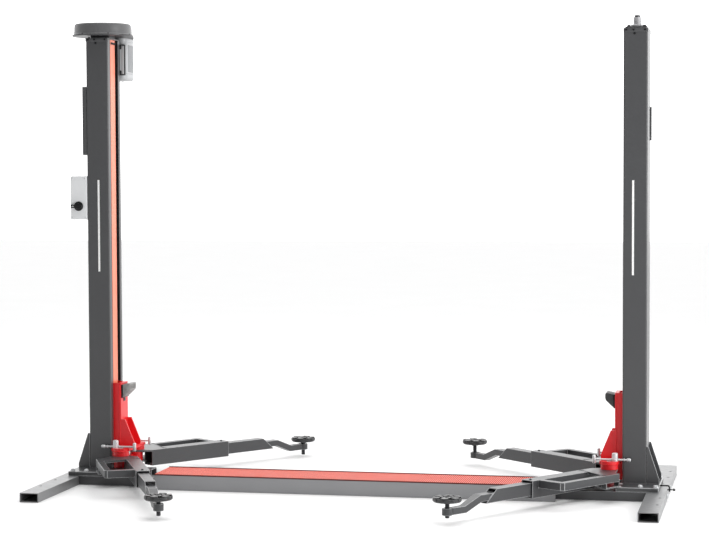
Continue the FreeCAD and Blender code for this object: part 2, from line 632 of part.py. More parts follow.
def make_carriage(side):
    half = "carriage_width / 2"
    inner = f"({half} - carriage_wall)"
    front = "carriage_face - carriage_wall"
    slider_front = f"({LIP_INNER} - slider_gap)"
    slider_side = "(post_depth / 2 - post_wall - slider_gap)"
    owner = body(f"{side}_carriage_section")
    drawing = sketch(owner, "XY_Plane", f"{side}_carriage_outline", "carriage_bottom")
    outline(drawing, [
        ("carriage_face", f"-{half}"), ("carriage_face", half), (slider_front, half),
        (slider_front, slider_side), ("slider_back", slider_side), ("slider_back", f"-{slider_side}"),
        (slider_front, f"-{slider_side}"),
        (slider_front, f"-{half}"),
    ])
    outline(drawing, [
        (front, f"-{inner}"), (front, inner), ("slider_back + carriage_wall", inner),
        ("slider_back + carriage_wall", f"-{inner}"),
    ])
    pad(owner, f"{side}_carriage_run", drawing, "carriage_top - carriage_bottom")
    face_back = "carriage_face"
    face_front = "carriage_face + carriage_wall"
    across = (f"-{half}", half)
    face = box(f"{side}_face", (face_back, face_front), across, ("face_plate_bottom", "carriage_top"))
    nut = box(f"{side}_nut", ("-spindle_radius - carriage_wall", "slider_back"),
              ("-nut_width / 2", "nut_width / 2"), ("nut_bottom", "nut_bottom + nut_height"))
    web = box(f"{side}_web", (face_back, "web_edge"), ("-hinge_side", "hinge_side"),
              (WEB_LOW, f"{WEB_LOW} + web_thickness"))
    yoke = box(f"{side}_yoke", ("yoke_back", "yoke_reach"), ("-yoke_half", "yoke_half"),
               ("yoke_bottom", YOKE_TOP))
    pieces = [owner, face, nut, web, yoke]
    nut_bore = (f"nut_bottom - {OVERSHOOT}", f"nut_bottom + nut_height + {OVERSHOOT}")
    bores = [rod(f"{side}_thread", "0", "0", nut_bore, "spindle_radius + thread_clearance")]
    for edge, y in (("front", "-hinge_side"), ("rear", "hinge_side")):
        pieces.append(rod(f"{side}_{edge}_sleeve", "hinge_out", y,
                          (f"{FORK_LOW_TOP} + fork_gap", f"{FORK_TOP_LOW} - fork_gap"), "sleeve_radius"))
        over_arm = (f"{ARM_TOP} + fork_gap", YOKE_TOP)
        pieces.append(rod(f"{side}_{edge}_boss", "hinge_out", y, over_arm, "boss_radius"))
        bores.append(rod(f"{side}_{edge}_bore", "hinge_out", y, ("pin_bottom", f"pin_top + {OVERSHOOT}"),
                         "pin_radius + pin_seat"))
    for edge, y in (("front", f"-{half}"), ("rear", f"{half} - carriage_wall")):
        rib = body(f"{side}_{edge}_rib")
        side_view = sketch(rib, "XZ_Plane", f"{side}_{edge}_rib_outline", f"-({y})")
        outline(side_view, [
            (face_front, YOKE_TOP), ("yoke_reach", YOKE_TOP), ("yoke_reach", f"{YOKE_TOP} + rib_step"),
            (f"{face_front} + rib_head", f"{YOKE_TOP} + rib_height"), (face_front, f"{YOKE_TOP} + rib_height"),
        ])
        pad(rib, f"{side}_{edge}_rib_plate", side_view, "carriage_wall", back=True)
        pieces.append(rib)
    whole = cut(f"{side}_carriage_bored", fuse(f"{side}_carriage_blank", pieces), fuse(f"{side}_bores", bores))
    stand(whole, side)
    keep(whole, f"{side}_carriage")


def make_hinge_pins(side):
    pins = []
    locks = []
    for edge, y in (("front", "-hinge_side"), ("rear", "hinge_side")):
        pins.append(rod(f"{side}_{edge}_pin", "hinge_out", y, ("pin_bottom", "pin_top"), "pin_radius"))
        under_fork = ("pin_bottom", "fork_bottom - fork_gap")
        pins.append(rod(f"{side}_{edge}_nut", "hinge_out", y, under_fork, "nut_radius"))
        housing = (YOKE_TOP, f"{YOKE_TOP} + lock_height")
        locks.append(rod(f"{side}_{edge}_lock", "lock_out", y, housing, "lock_radius"))
        level = f"{YOKE_TOP} + bar_height"
        outer = "lock_out - bar_outer"
        locks.append(bar(f"{side}_{edge}_bar", (outer, "lock_out + bar_inner"), y, level, "bar_radius"))
        locks.append(bar(f"{side}_{edge}_knob", (f"{outer} - bar_knob_length", outer), y, level, "bar_knob"))
        locks.append(rod(f"{side}_{edge}_end", "lock_out + bar_inner", y,
                         (f"{level} - bar_knob_length", f"{level} + bar_knob_length"), "bar_knob"))
    pair = fuse(f"{side}_pin_pair", pins)
    stand(pair, side)
    keep(pair, f"{side}_hinge_pins")
    lock_pair = fuse(f"{side}_lock_pair", locks)
    stand(lock_pair, side)
    keep(lock_pair, f"{side}_arm_locks")


def make_bumper(side):
    start = "(carriage_face + carriage_wall)"
    top = "bumper_bottom + bumper_height"
    owner = body(f"{side}_bumper_block")
    drawing = sketch(owner, "XZ_Plane", f"{side}_bumper_outline")
    outline(drawing, [
        (start, "bumper_bottom"), (f"{start} + bumper_reach", "bumper_bottom + bumper_rise"),
        (f"{start} + bumper_reach", top), (start, top),
    ])
    pad(owner, f"{side}_bumper_run", drawing, "bumper_width", middle=True)
    stand(owner, side)
    keep(owner, f"{side}_door_bumper")


ARMS = {
    "left_front": ("left", "front"),
    "left_rear": ("left", "rear"),
    "right_front": ("right", "front"),
    "right_rear": ("right", "rear"),
}


def turn(arm):
    """Arm's heading in degrees, from +X counter-clockwise."""
    return {
        "left_front": "angle_left_front - 90",
        "left_rear": "90 - angle_left_rear",
        "right_front": "270 - angle_right_front",
        "right_rear": "90 + angle_right_rear",
    }[arm]


def swing_in(obj, arm, reach="0", inward="0", up="0"):
    """Put a piece drawn along +X at its arm: so far along the arm, and inward of the hinge."""
    side, end = ARMS[arm]
    x = "(hinge_out - post_spacing / 2)" if side == "left" else "(post_spacing / 2 - hinge_out)"
    y = "-hinge_side" if end == "front" else "hinge_side"
    left_hand = 1 if arm in ("left_front", "right_rear") else -1
    heading = f"({turn(arm)}) * 1 deg"
    obj.Placement.Rotation = Rotation(Vector(0, 0, 1), value(turn(arm)))
    tie(obj, "Placement.Rotation.Angle", heading)
    beside = f"{left_hand} * ({inward})"
    tie(obj, "Placement.Base.x", f"{x} + ({reach}) * cos({heading}) - {beside} * sin({heading})")
    tie(obj, "Placement.Base.y", f"{y} + ({reach}) * sin({heading}) + {beside} * cos({heading})")
    if obj.TypeId == "Part::Cylinder":
        tie(obj, "Placement.Base.z", f"screw_bottom + {up}")


def make_arm(arm):
    """Arm tube beside its hinge, with the fork round the hinge and the outrigger strut."""
    out = 1 if arm in ("left_rear", "right_front") else -1
    half = "(arm_width / 2)"
    inner_face = f"(-arm_offset - {half})"
    outer_face = f"(-arm_offset + {half})"
    strut_inner = "(strut_out - strut_width)"

    def across(near, far):
        """Pair of places across the arm, given inward and outward of the hinge."""
        return (near, far) if out > 0 else (f"-({far})", f"-({near})")

    def place(along, outward):
        return (along, f"{out} * ({outward})")

    tube_sides = across(inner_face, outer_face)
    pieces = [box(f"{arm}_tube", ("arm_root", "arm_length"), tube_sides, ("arm_bottom", ARM_TOP))]
    upper = [
        ("-fork_eye", "-fork_eye / 2"), ("arm_root", inner_face), ("fork_near", inner_face),
        ("fork_near", "-arm_offset"), ("fork_far", strut_inner), ("fork_far", "strut_out"),
        ("strut_start", "strut_out"), ("fork_heel", f"{strut_inner} - arm_wall"), ("-fork_eye / 2", "fork_eye"),
        ("-fork_eye", "fork_eye / 2"),
    ]
    lower = [("-fork_eye", "-fork_eye / 2"), ("0", "-fork_eye"), ("arm_root", "-fork_eye"),
             ("fork_near", outer_face)] + upper[4:]
    for level, low, thick, corners in (("upper", FORK_TOP_LOW, "fork_top_thickness", upper),
                                       ("lower", "fork_bottom", "fork_bottom_thickness", lower)):
        owner = body(f"{arm}_{level}_fork")
        drawing = sketch(owner, "XY_Plane", f"{arm}_{level}_fork_outline", low)
        outline(drawing, [place(along, outward) for along, outward in corners])
        pad(owner, f"{arm}_{level}_fork_plate", drawing, thick)
        pieces.append(owner)
    strut = body(f"{arm}_strut")
    drawing = sketch(strut, "XY_Plane", f"{arm}_strut_outline", "strut_bottom")
    outline(drawing, [place(along, outward) for along, outward in [
        ("strut_start", strut_inner), ("strut_end - strut_width", strut_inner),
        ("strut_end - strut_width", outer_face), ("strut_end", outer_face),
        ("strut_end", "strut_out - strut_mitre"), ("strut_end - strut_mitre", "strut_out"),
        ("strut_start", "strut_out"),
    ]])
    pad(strut, f"{arm}_strut_run", drawing, f"{ARM_TOP} - strut_bottom")
    pieces.append(strut)
    for name, along in (("heel", "strut_start"), ("toe", "fork_far - arm_wall")):
        pieces.append(box(f"{arm}_{name}_post", (along, f"{along} + arm_wall"),
                          across(strut_inner, "strut_out"), (FORK_LOW_TOP, "strut_bottom")))
    hollow = box(f"{arm}_hollow", (f"arm_root - {OVERSHOOT}", f"arm_length + {OVERSHOOT}"),
                 across(f"{inner_face} + arm_wall", f"{outer_face} - arm_wall"),
                 ("arm_bottom + arm_wall", f"{ARM_TOP} - arm_wall"))
    opened = cut(f"{arm}_opened", fuse(f"{arm}_blank", pieces), hollow)
    rails = []
    for edge in (-1, 1):
        middle = f"(-arm_offset + {edge} * ({half} - arm_wall - slide_gap - rail_width))"
        rails.append(box(f"{arm}_rail", ("arm_root", "arm_length"),
                         across(f"{middle} - rail_width / 2", f"{middle} + rail_width / 2"),
                         ("arm_bottom + arm_wall", "arm_bottom + arm_wall + slide_rise - rail_gap")))
    bore = rod(f"{arm}_bore", "0", "0", (f"fork_bottom - {OVERSHOOT}", f"{ARM_TOP} + {OVERSHOOT}"),
               "pin_radius + pin_clearance")
    whole = cut(f"{arm}_arm_bored", fuse(f"{arm}_arm_joined", [opened] + rails), bore)
    swing_in(whole, arm)
    keep(whole, f"{arm}_arm")


def make_extension(arm):
    """Sliding tube with a slanted end, the bent bar and the pad's holder, drawn about the pad."""
    low = "(arm_bottom + arm_wall + slide_rise)"
    high = f"({ARM_TOP} - arm_wall - slide_rise)"
    width = "(arm_width - 2 * arm_wall - 2 * slide_gap)"
    owner = body(f"{arm}_slide_tube")
    drawing = sketch(owner, "XZ_Plane", f"{arm}_slide_outline")
    outline(drawing, [
        ("-extension_tail", low), ("-extension_low_end", low),
        ("-extension_top_end", high), ("-extension_tail", high),
    ])
    pad(owner, f"{arm}_slide_run", drawing, width, middle=True)
    inside = sketch(owner, "YZ_Plane", f"{arm}_slide_section")
    reach = f"({width} / 2 - extension_wall)"
    outline(inside, [
        (f"-{reach}", f"{low} + extension_wall"), (reach, f"{low} + extension_wall"),
        (reach, f"{high} - extension_wall"), (f"-{reach}", f"{high} - extension_wall"),
    ])
    pocket(owner, f"{arm}_slide_hollow", inside)
    side_view = body(f"{arm}_neck_side")
    drawing = sketch(side_view, "XZ_Plane", f"{arm}_neck_outline")
    half = "(neck_thickness / 2)"
    outline(drawing, [
        ("-neck_tail", f"neck_start - {half}"), ("-neck_bend", f"neck_start - {half}"),
        ("-neck_foot", f"neck_end - {half}"), ("0", f"neck_end - {half}"), ("0", f"neck_end + {half}"),
        (f"-neck_foot + {half} / 2", f"neck_end + {half}"),
        (f"-neck_bend + {half} / 2", f"neck_start + {half}"),
        ("-neck_tail", f"neck_start + {half}"),
    ])
    pad(side_view, f"{arm}_neck_bar", drawing, f"2 * {reach}", middle=True)
    plan = body(f"{arm}_neck_plan")
    drawing = sketch(plan, "XY_Plane", f"{arm}_neck_taper")
    outline(drawing, [
        ("-neck_tail", f"-{reach}"), ("-neck_bend", f"-{reach}"), ("0", "-neck_tip"),
        ("0", "neck_tip"), ("-neck_bend", reach), ("-neck_tail", reach),
    ])
    pad(plan, f"{arm}_neck_plan_run", drawing, ARM_TOP)
    neck = doc.addObject("Part::MultiCommon", f"{arm}_neck")
    neck.Shapes = [side_view, plan]
    holder_top = "(holder_bottom + holder_height)"
    holder = rod(f"{arm}_holder", "0", "0", ("holder_bottom", holder_top), "holder_radius")
    through = ("0", f"{holder_top} + {OVERSHOOT}")
    bore = rod(f"{arm}_thread", "0", "0", through, "screw_radius + screw_clearance")
    blank = fuse(f"{arm}_slide_blank", [owner, neck, holder])
    whole = cut(f"{arm}_slide_bored", blank, bore)
    swing_in(whole, arm, f"reach_{arm}", "arm_offset")
    keep(whole, f"{arm}_extension")


def make_pad(arm):
    """Pad with its hub, and the screw under it, turned out of the holder by the arm's own amount."""
    up = f"raise_{arm}"
    low = f"(pad_bottom + {up})"
    top = f"({low} + pad_height)"
    disc = body(f"{arm}_pad_disc")
    drawing = sketch(disc, "XZ_Plane", f"{arm}_pad_profile")
    outline(drawing, [
        ("0", f"{low} - pad_hub"), ("pad_hub_radius", f"{low} - pad_hub"), ("pad_hub_radius", low),
        ("pad_radius - pad_edge", low), ("pad_radius", f"{low} + pad_edge"), ("pad_radius", top),
        ("pad_radius - pad_rim", top), ("pad_radius - pad_rim", f"{top} - pad_dish"),
        ("0", f"{top} - pad_dish"),
    ])
    turned = disc.newObject("PartDesign::Revolution", f"{arm}_pad_turned")
    turned.Profile = drawing
    turned.ReferenceAxis = (drawing, ["V_Axis"])
    turned.Angle = 360
    swing_in(disc, arm, f"reach_{arm}", "arm_offset")
    keep(disc, f"{arm}_pad")
    screw = rod(f"{arm}_screw", "0", "0", ("screw_bottom", f"pad_bottom - pad_hub"), "screw_radius")
    swing_in(screw, arm, f"reach_{arm}", "arm_offset", up)
    keep(screw, f"{arm}_pad_screw")


def check_and_export():
    doc.recompute()
    for obj in doc.Objects:
        bad = [state for state in obj.State if state in ("Invalid", "Error")]
        if bad:
            raise RuntimeError(f"{obj.Name} failed: {bad}")
    for obj in PARTS:
        if obj.Shape.isNull() or not obj.Shape.isValid() or not obj.Shape.Solids:
            raise RuntimeError(f"{obj.Label} has no valid solid")
    os.makedirs("parts", exist_ok=True)
    for obj in PARTS:
        obj.Shape.exportStep(f"parts/{obj.Label}.step")
        print(obj.Label, len(obj.Shape.Solids), "solid, volume", round(obj.Shape.Volume / 1e6, 3), "dm3")


make_floor_frame()
make_floor_cover()
for side in SIDES:
    make_post(side)
    make_post_top(side)
make_gussets()
make_spindles()
make_drive()
make_switch_gear()
for side in SIDES:
    make_carriage(side)
    make_hinge_pins(side)
    make_bumper(side)
for arm in ARMS:
    make_arm(arm)
    make_extension(arm)
    make_pad(arm)
check_and_export()
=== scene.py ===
import math
from collections import namedtuple

import bmesh
import bpy
from mathutils import Matrix, Vector, noise


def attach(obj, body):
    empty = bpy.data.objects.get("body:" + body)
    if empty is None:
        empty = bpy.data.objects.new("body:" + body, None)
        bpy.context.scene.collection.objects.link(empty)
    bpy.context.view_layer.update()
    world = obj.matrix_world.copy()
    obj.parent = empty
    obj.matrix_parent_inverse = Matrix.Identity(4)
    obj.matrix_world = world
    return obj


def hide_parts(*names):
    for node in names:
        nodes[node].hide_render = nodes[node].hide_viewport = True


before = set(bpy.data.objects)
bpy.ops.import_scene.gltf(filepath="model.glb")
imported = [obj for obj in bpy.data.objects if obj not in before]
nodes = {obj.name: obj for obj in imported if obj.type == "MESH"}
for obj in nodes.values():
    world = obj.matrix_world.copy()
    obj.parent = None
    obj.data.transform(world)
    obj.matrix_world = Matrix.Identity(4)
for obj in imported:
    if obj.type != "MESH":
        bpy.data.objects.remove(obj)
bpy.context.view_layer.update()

# Sizes in metres, as in the CAD model. X runs to the right, Y to the rear, Z up.
POST_X = 1.519            # post's middle from the lift's middle
POST_HALF = 0.0655        # half the post's width
POST_DEEP = 0.1085        # half the post's depth
PLATE_TOP = 0.075         # base plate
TOP_PLATE_TOP = 2.530
BEARING_TOP = 2.542
DRIVE_PLATE_TOP = 2.547
MOTOR_Y = 0.226           # motor behind the post's middle
MOTOR_HEIGHT = 0.243
HINGE_OUT = 0.132         # hinge from the post's middle, towards the bay
HINGE_SIDE = 0.140        # hinge ahead of and behind the post's middle
YOKE_TOP = 0.197
ARM_TOP = 0.154
TUBE_OFFSET = 0.053       # arm tube beside its hinge
TUBE_HALF = 0.039
STRUT_INNER = 0.116       # outrigger strut beside its hinge
STRUT_OUTER = 0.151
CHANNEL_HALF = 1.1198     # floor channel's half length
CHANNEL_FRONT = -0.356
CHANNEL_REAR = -0.077
TREAD_TOP = 0.087
PAD_BOTTOM = 0.091
PAD_HEIGHT = 0.027
SCREW_LOW = 0.010

SIDES = {"left": -1, "right": 1}
ENDS = (-1, 1)            # front and rear
UP = (0, 0, 1)
DOWN = (0, 0, -1)
FRONT = (0, -1, 0)
STILL = Matrix.Identity(4)
ON_EDGE = Matrix.Rotation(math.radians(90), 4, "X")

# Where each arm stands in the photograph: side and end of its hinge, heading in degrees, pad's reach from
# the hinge, how far its pad is raised, and the side of the arm that its strut is on
Arm = namedtuple("Arm", "side end heading reach raised out")
ARMS = {
    "left_front": Arm(-1, -1, -65.0, 1.263, 0.006, -1),
    "left_rear": Arm(-1, 1, 53.9, 1.231, 0.0, 1),
    "right_front": Arm(1, -1, 236.0, 1.217, 0.018, 1),
    "right_rear": Arm(1, 1, 136.4, 1.190, 0.035, -1),
}


# Materials

def shader(name, rgb, rough, metal=0.0, tint=0.05, patch=5.0, grain=700.0, bump=0.1, rough_swing=0.08,
           streak=None, specular=0.5):
    """Painted, moulded or metal surface with its own colour drift and grain."""
    mat = bpy.data.materials.new(name)
    mat.use_nodes = True
    tree = mat.node_tree
    make = tree.nodes.new
    link = tree.links.new
    bsdf = tree.nodes["Principled BSDF"]
    place = make("ShaderNodeTexCoord").outputs["Object"]
    grain_place = place
    if streak:
        stretch = make("ShaderNodeMapping")
        stretch.inputs["Scale"].default_value = streak
        link(place, stretch.inputs["Vector"])
        grain_place = stretch.outputs["Vector"]

    def clouds(scale, detail, where):
        node = make("ShaderNodeTexNoise")
        node.inputs["Scale"].default_value = scale
        node.inputs["Detail"].default_value = detail
        link(where, node.inputs["Vector"])
        return node.outputs["Fac"]

    def between(value, low, high, to_low, to_high):
        node = make("ShaderNodeMapRange")
        limits = {"From Min": low, "From Max": high, "To Min": to_low, "To Max": to_high}
        for socket, number in limits.items():
            node.inputs[socket].default_value = number
        link(value, node.inputs["Value"])
        return node.outputs["Result"]

    def mixed(share, first, second):
        node = make("ShaderNodeMix")
        node.data_type = "RGBA"
        for socket, colour in ((node.inputs[6], first), (node.inputs[7], second)):
            if hasattr(colour, "is_output"):
                link(colour, socket)
            else:
                socket.default_value = (*colour, 1.0)
        link(share, node.inputs[0])
        return node.outputs[2]

    fine = clouds(grain, 3.0, grain_place)
    dark = tuple(c * (1.0 - tint) for c in rgb)
    light = tuple(min(1.0, c * (1.0 + tint)) for c in rgb)
    colour = mixed(between(clouds(patch, 5.0, place), 0.3, 0.7, 0.0, 1.0), dark, light)
    if streak:
        colour = mixed(between(fine, 0.35, 0.65, 0.0, 0.35), colour, dark)
    link(colour, bsdf.inputs["Base Color"])
    bsdf.inputs["Metallic"].default_value = metal
    bsdf.inputs["Specular IOR Level"].default_value = specular
    gloss_drift = clouds(patch * 4.0, 4.0, place)
    link(between(gloss_drift, 0.3, 0.7, rough - rough_swing, rough + rough_swing), bsdf.inputs["Roughness"])
    relief = make("ShaderNodeBump")
    relief.inputs["Strength"].default_value = bump
    relief.inputs["Distance"].default_value = 0.0006
    link(fine, relief.inputs["Height"])
    link(relief.outputs["Normal"], bsdf.inputs["Normal"])
    return mat


# Material of each slot in the record
LOOKS = {
    "floor_steel": shader("floor_grey_paint", (0.168, 0.170, 0.174), 0.34, tint=0.05, patch=9, grain=420,
                          bump=0.10, rough_swing=0.05),
    "dark_paint": shader("anthracite_paint", (0.061, 0.062, 0.065), 0.32, tint=0.02, grain=520, bump=0.05,
                         rough_swing=0.015),
    "channel_paint": shader("light_grey_paint", (0.265, 0.267, 0.275), 0.34, tint=0.02, grain=460, bump=0.05,
                            rough_swing=0.02),
    "red_plastic": shader("red_moulded_plastic", (0.80, 0.125, 0.075), 0.48, tint=0.03, grain=900, bump=0.06,
                          rough_swing=0.02, specular=0.3),
    "spindle_steel": shader("turned_steel", (0.36, 0.36, 0.37), 0.48, metal=0.20, tint=0.04, grain=90,
                            bump=0.05, rough_swing=0.03, streak=(1.0, 1.0, 30.0)),
    "dark_plastic": shader("grained_dark_plastic", (0.098, 0.099, 0.102), 0.40, tint=0.02, grain=1100,
                           bump=0.18, rough_swing=0.02),
    "motor_alloy": shader("cast_alloy", (0.42, 0.43, 0.44), 0.44, metal=0.10, tint=0.04, grain=420, bump=0.22,
                          rough_swing=0.04),
    "box_paint": shader("grained_light_grey_coat", (0.71, 0.72, 0.73), 0.42, tint=0.02, grain=1000, bump=0.20,
                        rough_swing=0.02),
    "black_plastic": shader("glossy_black_plastic", (0.008, 0.008, 0.009), 0.30, tint=0.10, grain=900,
                            bump=0.04, rough_swing=0.02, specular=0.25),
    "red_paint": shader("gloss_red_paint", (0.76, 0.014, 0.020), 0.34, tint=0.03, grain=460, bump=0.05,
                        rough_swing=0.02, specular=0.4),
    "zinc": shader("bright_zinc", (0.64, 0.65, 0.66), 0.32, metal=0.35, tint=0.05, patch=40, grain=260,
                   bump=0.06),
    "rubber": shader("black_bumper_rubber", (0.040, 0.040, 0.042), 0.50, tint=0.10, grain=800, bump=0.3),
    "arm_paint": shader("arm_grey_paint", (0.047, 0.048, 0.051), 0.36, tint=0.03, grain=460, bump=0.02,
                        rough_swing=0.02),
    "pad_rubber": shader("pad_black_rubber", (0.030, 0.030, 0.032), 0.38, tint=0.14, grain=700, bump=0.25),
    "screw_steel": shader("blackened_steel", (0.050, 0.050, 0.054), 0.34, metal=0.55, tint=0.12, grain=300,
                          bump=0.10),
}

# Materials that only some pieces have
WHITE = shader("plain_white_stripe", (0.86, 0.86, 0.85), 0.45, tint=0.02, grain=1200, bump=0.04)
WELD = shader("painted_weld", (0.055, 0.056, 0.059), 0.30, tint=0.12, patch=120, grain=420, bump=0.15)
DARK_GAP = shader("dark_gasket", (0.008, 0.008, 0.009), 0.6, tint=0.15, grain=800, bump=0.1)
# Red of the cover bands, lighter and more orange than the red plastic: the plastic's red with a painted
# reflection of the bright surroundings
BAND_PAINTED_SHEEN = shader("red_strip_painted_reflection", (0.86, 0.210, 0.110), 0.32, tint=0.03, grain=900, bump=0.04,
              rough_swing=0.02)
# Dark red for the tread's surface between its ribs: painted shade in the grooves
TREAD_GROOVE_SHADE = shader("red_plastic_groove_shade", (0.20, 0.020, 0.015), 0.55, tint=0.05, grain=900, bump=0.08,
                    specular=0.1)
TREAD_EDGE = shader("dark_red_edge", (0.085, 0.014, 0.010), 0.50, tint=0.06, grain=900, bump=0.06,
                    specular=0.25)
# Light grey for rounded edges of arms, plates and tubes: a painted highlight along the edges
EDGE_HIGHLIGHT = shader("painted_edge_highlight", (0.30, 0.305, 0.31), 0.30, tint=0.25, patch=28, grain=420, bump=0.05)
# Light grey for the left bumper and black for the right one, both the same rubber: the grey is a painted lit
# face
BUMPER_RUBBER_LIT = shader("bumper_rubber_painted_light", (0.260, 0.260, 0.255), 0.55, tint=0.12, patch=60, grain=500,
                     bump=0.4)
BUMPER_LOOK = {"left": BUMPER_RUBBER_LIT, "right": LOOKS["rubber"]}


# Mesh building

def scaled(size, *pairs):
    """Profile or outline whose pairs are given in shares of a size."""
    return [(first * size, second * size) for first, second in pairs]


def mm(*pairs):
    """Profile or outline in metres from pairs in millimetres."""
    return scaled(0.001, *pairs)


def lifted(pairs, height):
    """The same profile at another height."""
    return [(radius, z + height) for radius, z in pairs]


def around(middle, half):
    """Range of a width about its middle."""
    return middle - half, middle + half


def ring_points(radius, z, turns):
    angles = (2 * math.pi * i / turns for i in range(turns))
    return [Vector((radius * math.cos(a), radius * math.sin(a), z)) for a in angles]


def join_rings(bm, one, two):
    """Faces between two rings; a ring of one vertex is a tip."""
    count = max(len(one), len(two))
    for i in range(count):
        after = (i + 1) % count
        corners = [one[i % len(one)], one[after % len(one)], two[after % len(two)], two[i % len(two)]]
        seen = []
        for corner in corners:
            if corner not in seen:
                seen.append(corner)
        if len(seen) > 2:
            bm.faces.new(seen)


def skin(bm, rings, closed=False):
    """Faces along a row of rings, with both ends shut or joined to each other."""
    for one, two in zip(rings, rings[1:]):
        join_rings(bm, one, two)
    if closed:
        join_rings(bm, rings[-1], rings[0])
        return
    for ring in (rings[0], rings[-1]):
        if len(ring) > 2:
            bm.faces.new(ring)


def lathe(bm, profile, place=STILL, turns=40, closed=False):
    """Body of revolution about Z from (radius, height) pairs."""
    rings = []
    for radius, z in profile:
        spots = [Vector((0, 0, z))] if radius < 1e-6 else ring_points(radius, z, turns)
        rings.append([bm.verts.new(place @ p) for p in spots])
    skin(bm, rings, closed)


def stacked(bm, levels, place):
    """Closed shell through outlines at their heights."""
    skin(bm, [[bm.verts.new(place @ Vector((x, y, z))) for x, y in outline] for outline, z in levels])


def prism(bm, corners, low, high, place=STILL, soft=0.0, steps=2):
    """Upright plate from its outline, with softened edges."""
    lower = [bm.verts.new(place @ Vector((x, y, low))) for x, y in corners]
    upper = [bm.verts.new(place @ Vector((x, y, high))) for x, y in corners]
    made = [bm.faces.new(lower[::-1]), bm.faces.new(upper)]
    count = len(corners)
    for i in range(count):
        after = (i + 1) % count
        made.append(bm.faces.new((lower[i], lower[after], upper[after], upper[i])))
    if soft:
        edges = {edge for face in made for edge in face.edges}
        bmesh.ops.bevel(bm, geom=list(edges), offset=soft, segments=steps, affect="EDGES", profile=0.5)


def block(bm, x, y, z, place=STILL, *, soft, steps=2):
    """Softened box between ranges in X, Y and Z."""
    prism(bm, [(x[0], y[0]), (x[1], y[0]), (x[1], y[1]), (x[0], y[1])], z[0], z[1], place, soft, steps)


def sector(bm, inner, outer, start, turn, low, high, place, soft, steps=7):
    """Softened piece of a flat ring, with its angles in degrees."""
    arc = [math.radians(start + turn * k / steps) for k in range(steps + 1)]
    outline = [(outer * math.cos(a), outer * math.sin(a)) for a in arc]
    outline += [(inner * math.cos(a), inner * math.sin(a)) for a in reversed(arc)]
    prism(bm, outline, low, high, place, soft)


def sweep(bm, points, radius, sides):
    """Round bar along a line of points, with closed ends."""
    rings = []
    for i, spot in enumerate(points):
        ahead = (points[min(i + 1, len(points) - 1)] - points[max(i - 1, 0)]).normalized()
        aside = Vector(UP) if abs(ahead.z) < 0.95 else Vector((0, 1, 0))
        across = ahead.cross(aside).normalized()
        other = ahead.cross(across).normalized()
        rings.append([bm.verts.new(spot + radius * (math.cos(a) * across + math.sin(a) * other))
                      for a in (2 * math.pi * k / sides for k in range(sides))])
    skin(bm, rings)


def rounded_path(corners, radius, steps=6):
    """Line of points through corners, each turned with an arc-like curve."""
    points = [corners[0]]
    for before, here, after in zip(corners, corners[1:], corners[2:]):
        start = here + (before - here).normalized() * radius
        end = here + (after - here).normalized() * radius
        for k in range(steps + 1):
            t = k / steps
            points.append(start * (1 - t) ** 2 + here * 2 * t * (1 - t) + end * t ** 2)
    points.append(corners[-1])
    return points


BEAD_ANGLES = [math.pi * k / 3 for k in range(6)]
BEAD_STEP = 0.0025        # between the rings of vertices of a straight bead
RING_BEAD_STEP = 0.003
RIPPLE = 0.14             # share of the bead's radius
RIPPLE_TURN = 1.9         # radians at each step
UNEVENNESS = 0.12


def weld(bm, start, end, radius, place=STILL):
    """Rippled bead between two points, thinner at both ends."""
    start = place @ Vector(start)
    end = place @ Vector(end)
    count = max(6, int((end - start).length / BEAD_STEP))
    ahead = (end - start).normalized()
    across = ahead.cross(Vector(UP) if abs(ahead.z) < 0.9 else Vector((0, 1, 0))).normalized()
    other = ahead.cross(across)
    rings = []
    for i in range(count + 1):
        spot = start.lerp(end, i / count)
        swell = radius * (1 + RIPPLE * math.sin(i * RIPPLE_TURN) + UNEVENNESS * noise.noise(spot * 90))
        if i in (0, count):
            swell *= 0.5
        rings.append([bm.verts.new(spot + swell * (math.cos(a) * across + math.sin(a) * other))
                      for a in BEAD_ANGLES])
    skin(bm, rings)


def ring_weld(bm, middle, ring_radius, radius, place, start=0.0, turn=360.0):
    """Rippled bead round a boss, or round a part of it between angles in degrees."""
    count = max(12, int(math.radians(turn) * ring_radius / RING_BEAD_STEP))
    whole = turn == 360.0
    rings = []
    for i in range(count if whole else count + 1):
        angle = math.radians(start + turn * i / count)
        out = Vector((math.cos(angle), math.sin(angle), 0))
        spot = Vector(middle) + out * ring_radius
        swell = radius * (1 + RIPPLE * math.sin(i * RIPPLE_TURN))
        rings.append([bm.verts.new(place @ (spot + swell * (math.cos(b) * out + math.sin(b) * Vector(UP))))
                      for b in BEAD_ANGLES])
    skin(bm, rings, closed=whole)


def thread(bm, low, high, radius, pitch, depth, place, turns=24):
    """Screw with a true helical thread that fades out at both ends."""
    rows = int((high - low) / pitch * 6)
    rings = []
    for k in range(rows + 1):
        z = low + (high - low) * k / rows
        fade = max(min(1.0, (z - low) / (pitch * 0.8), (high - z) / (pitch * 0.8)), 0.0)
        ring = []
        for i in range(turns):
            angle = 2 * math.pi * i / turns
            wave = ((z - low) / pitch - i / turns) % 1.0
            rise = min(1.0, max(0.0, 2.2 - abs(wave - 0.5) * 6.4))
            r = radius - depth + depth * rise * fade
            ring.append(bm.verts.new(place @ Vector((r * math.cos(angle), r * math.sin(angle), z))))
        rings.append(ring)
    skin(bm, rings)


def facing(spot, axis, spin=0.0):
    """Placement with local Z along an axis."""
    turn = Vector(UP).rotation_difference(Vector(axis)).to_matrix().to_4x4()
    return Matrix.Translation(Vector(spot)) @ turn @ Matrix.Rotation(spin, 4, "Z")


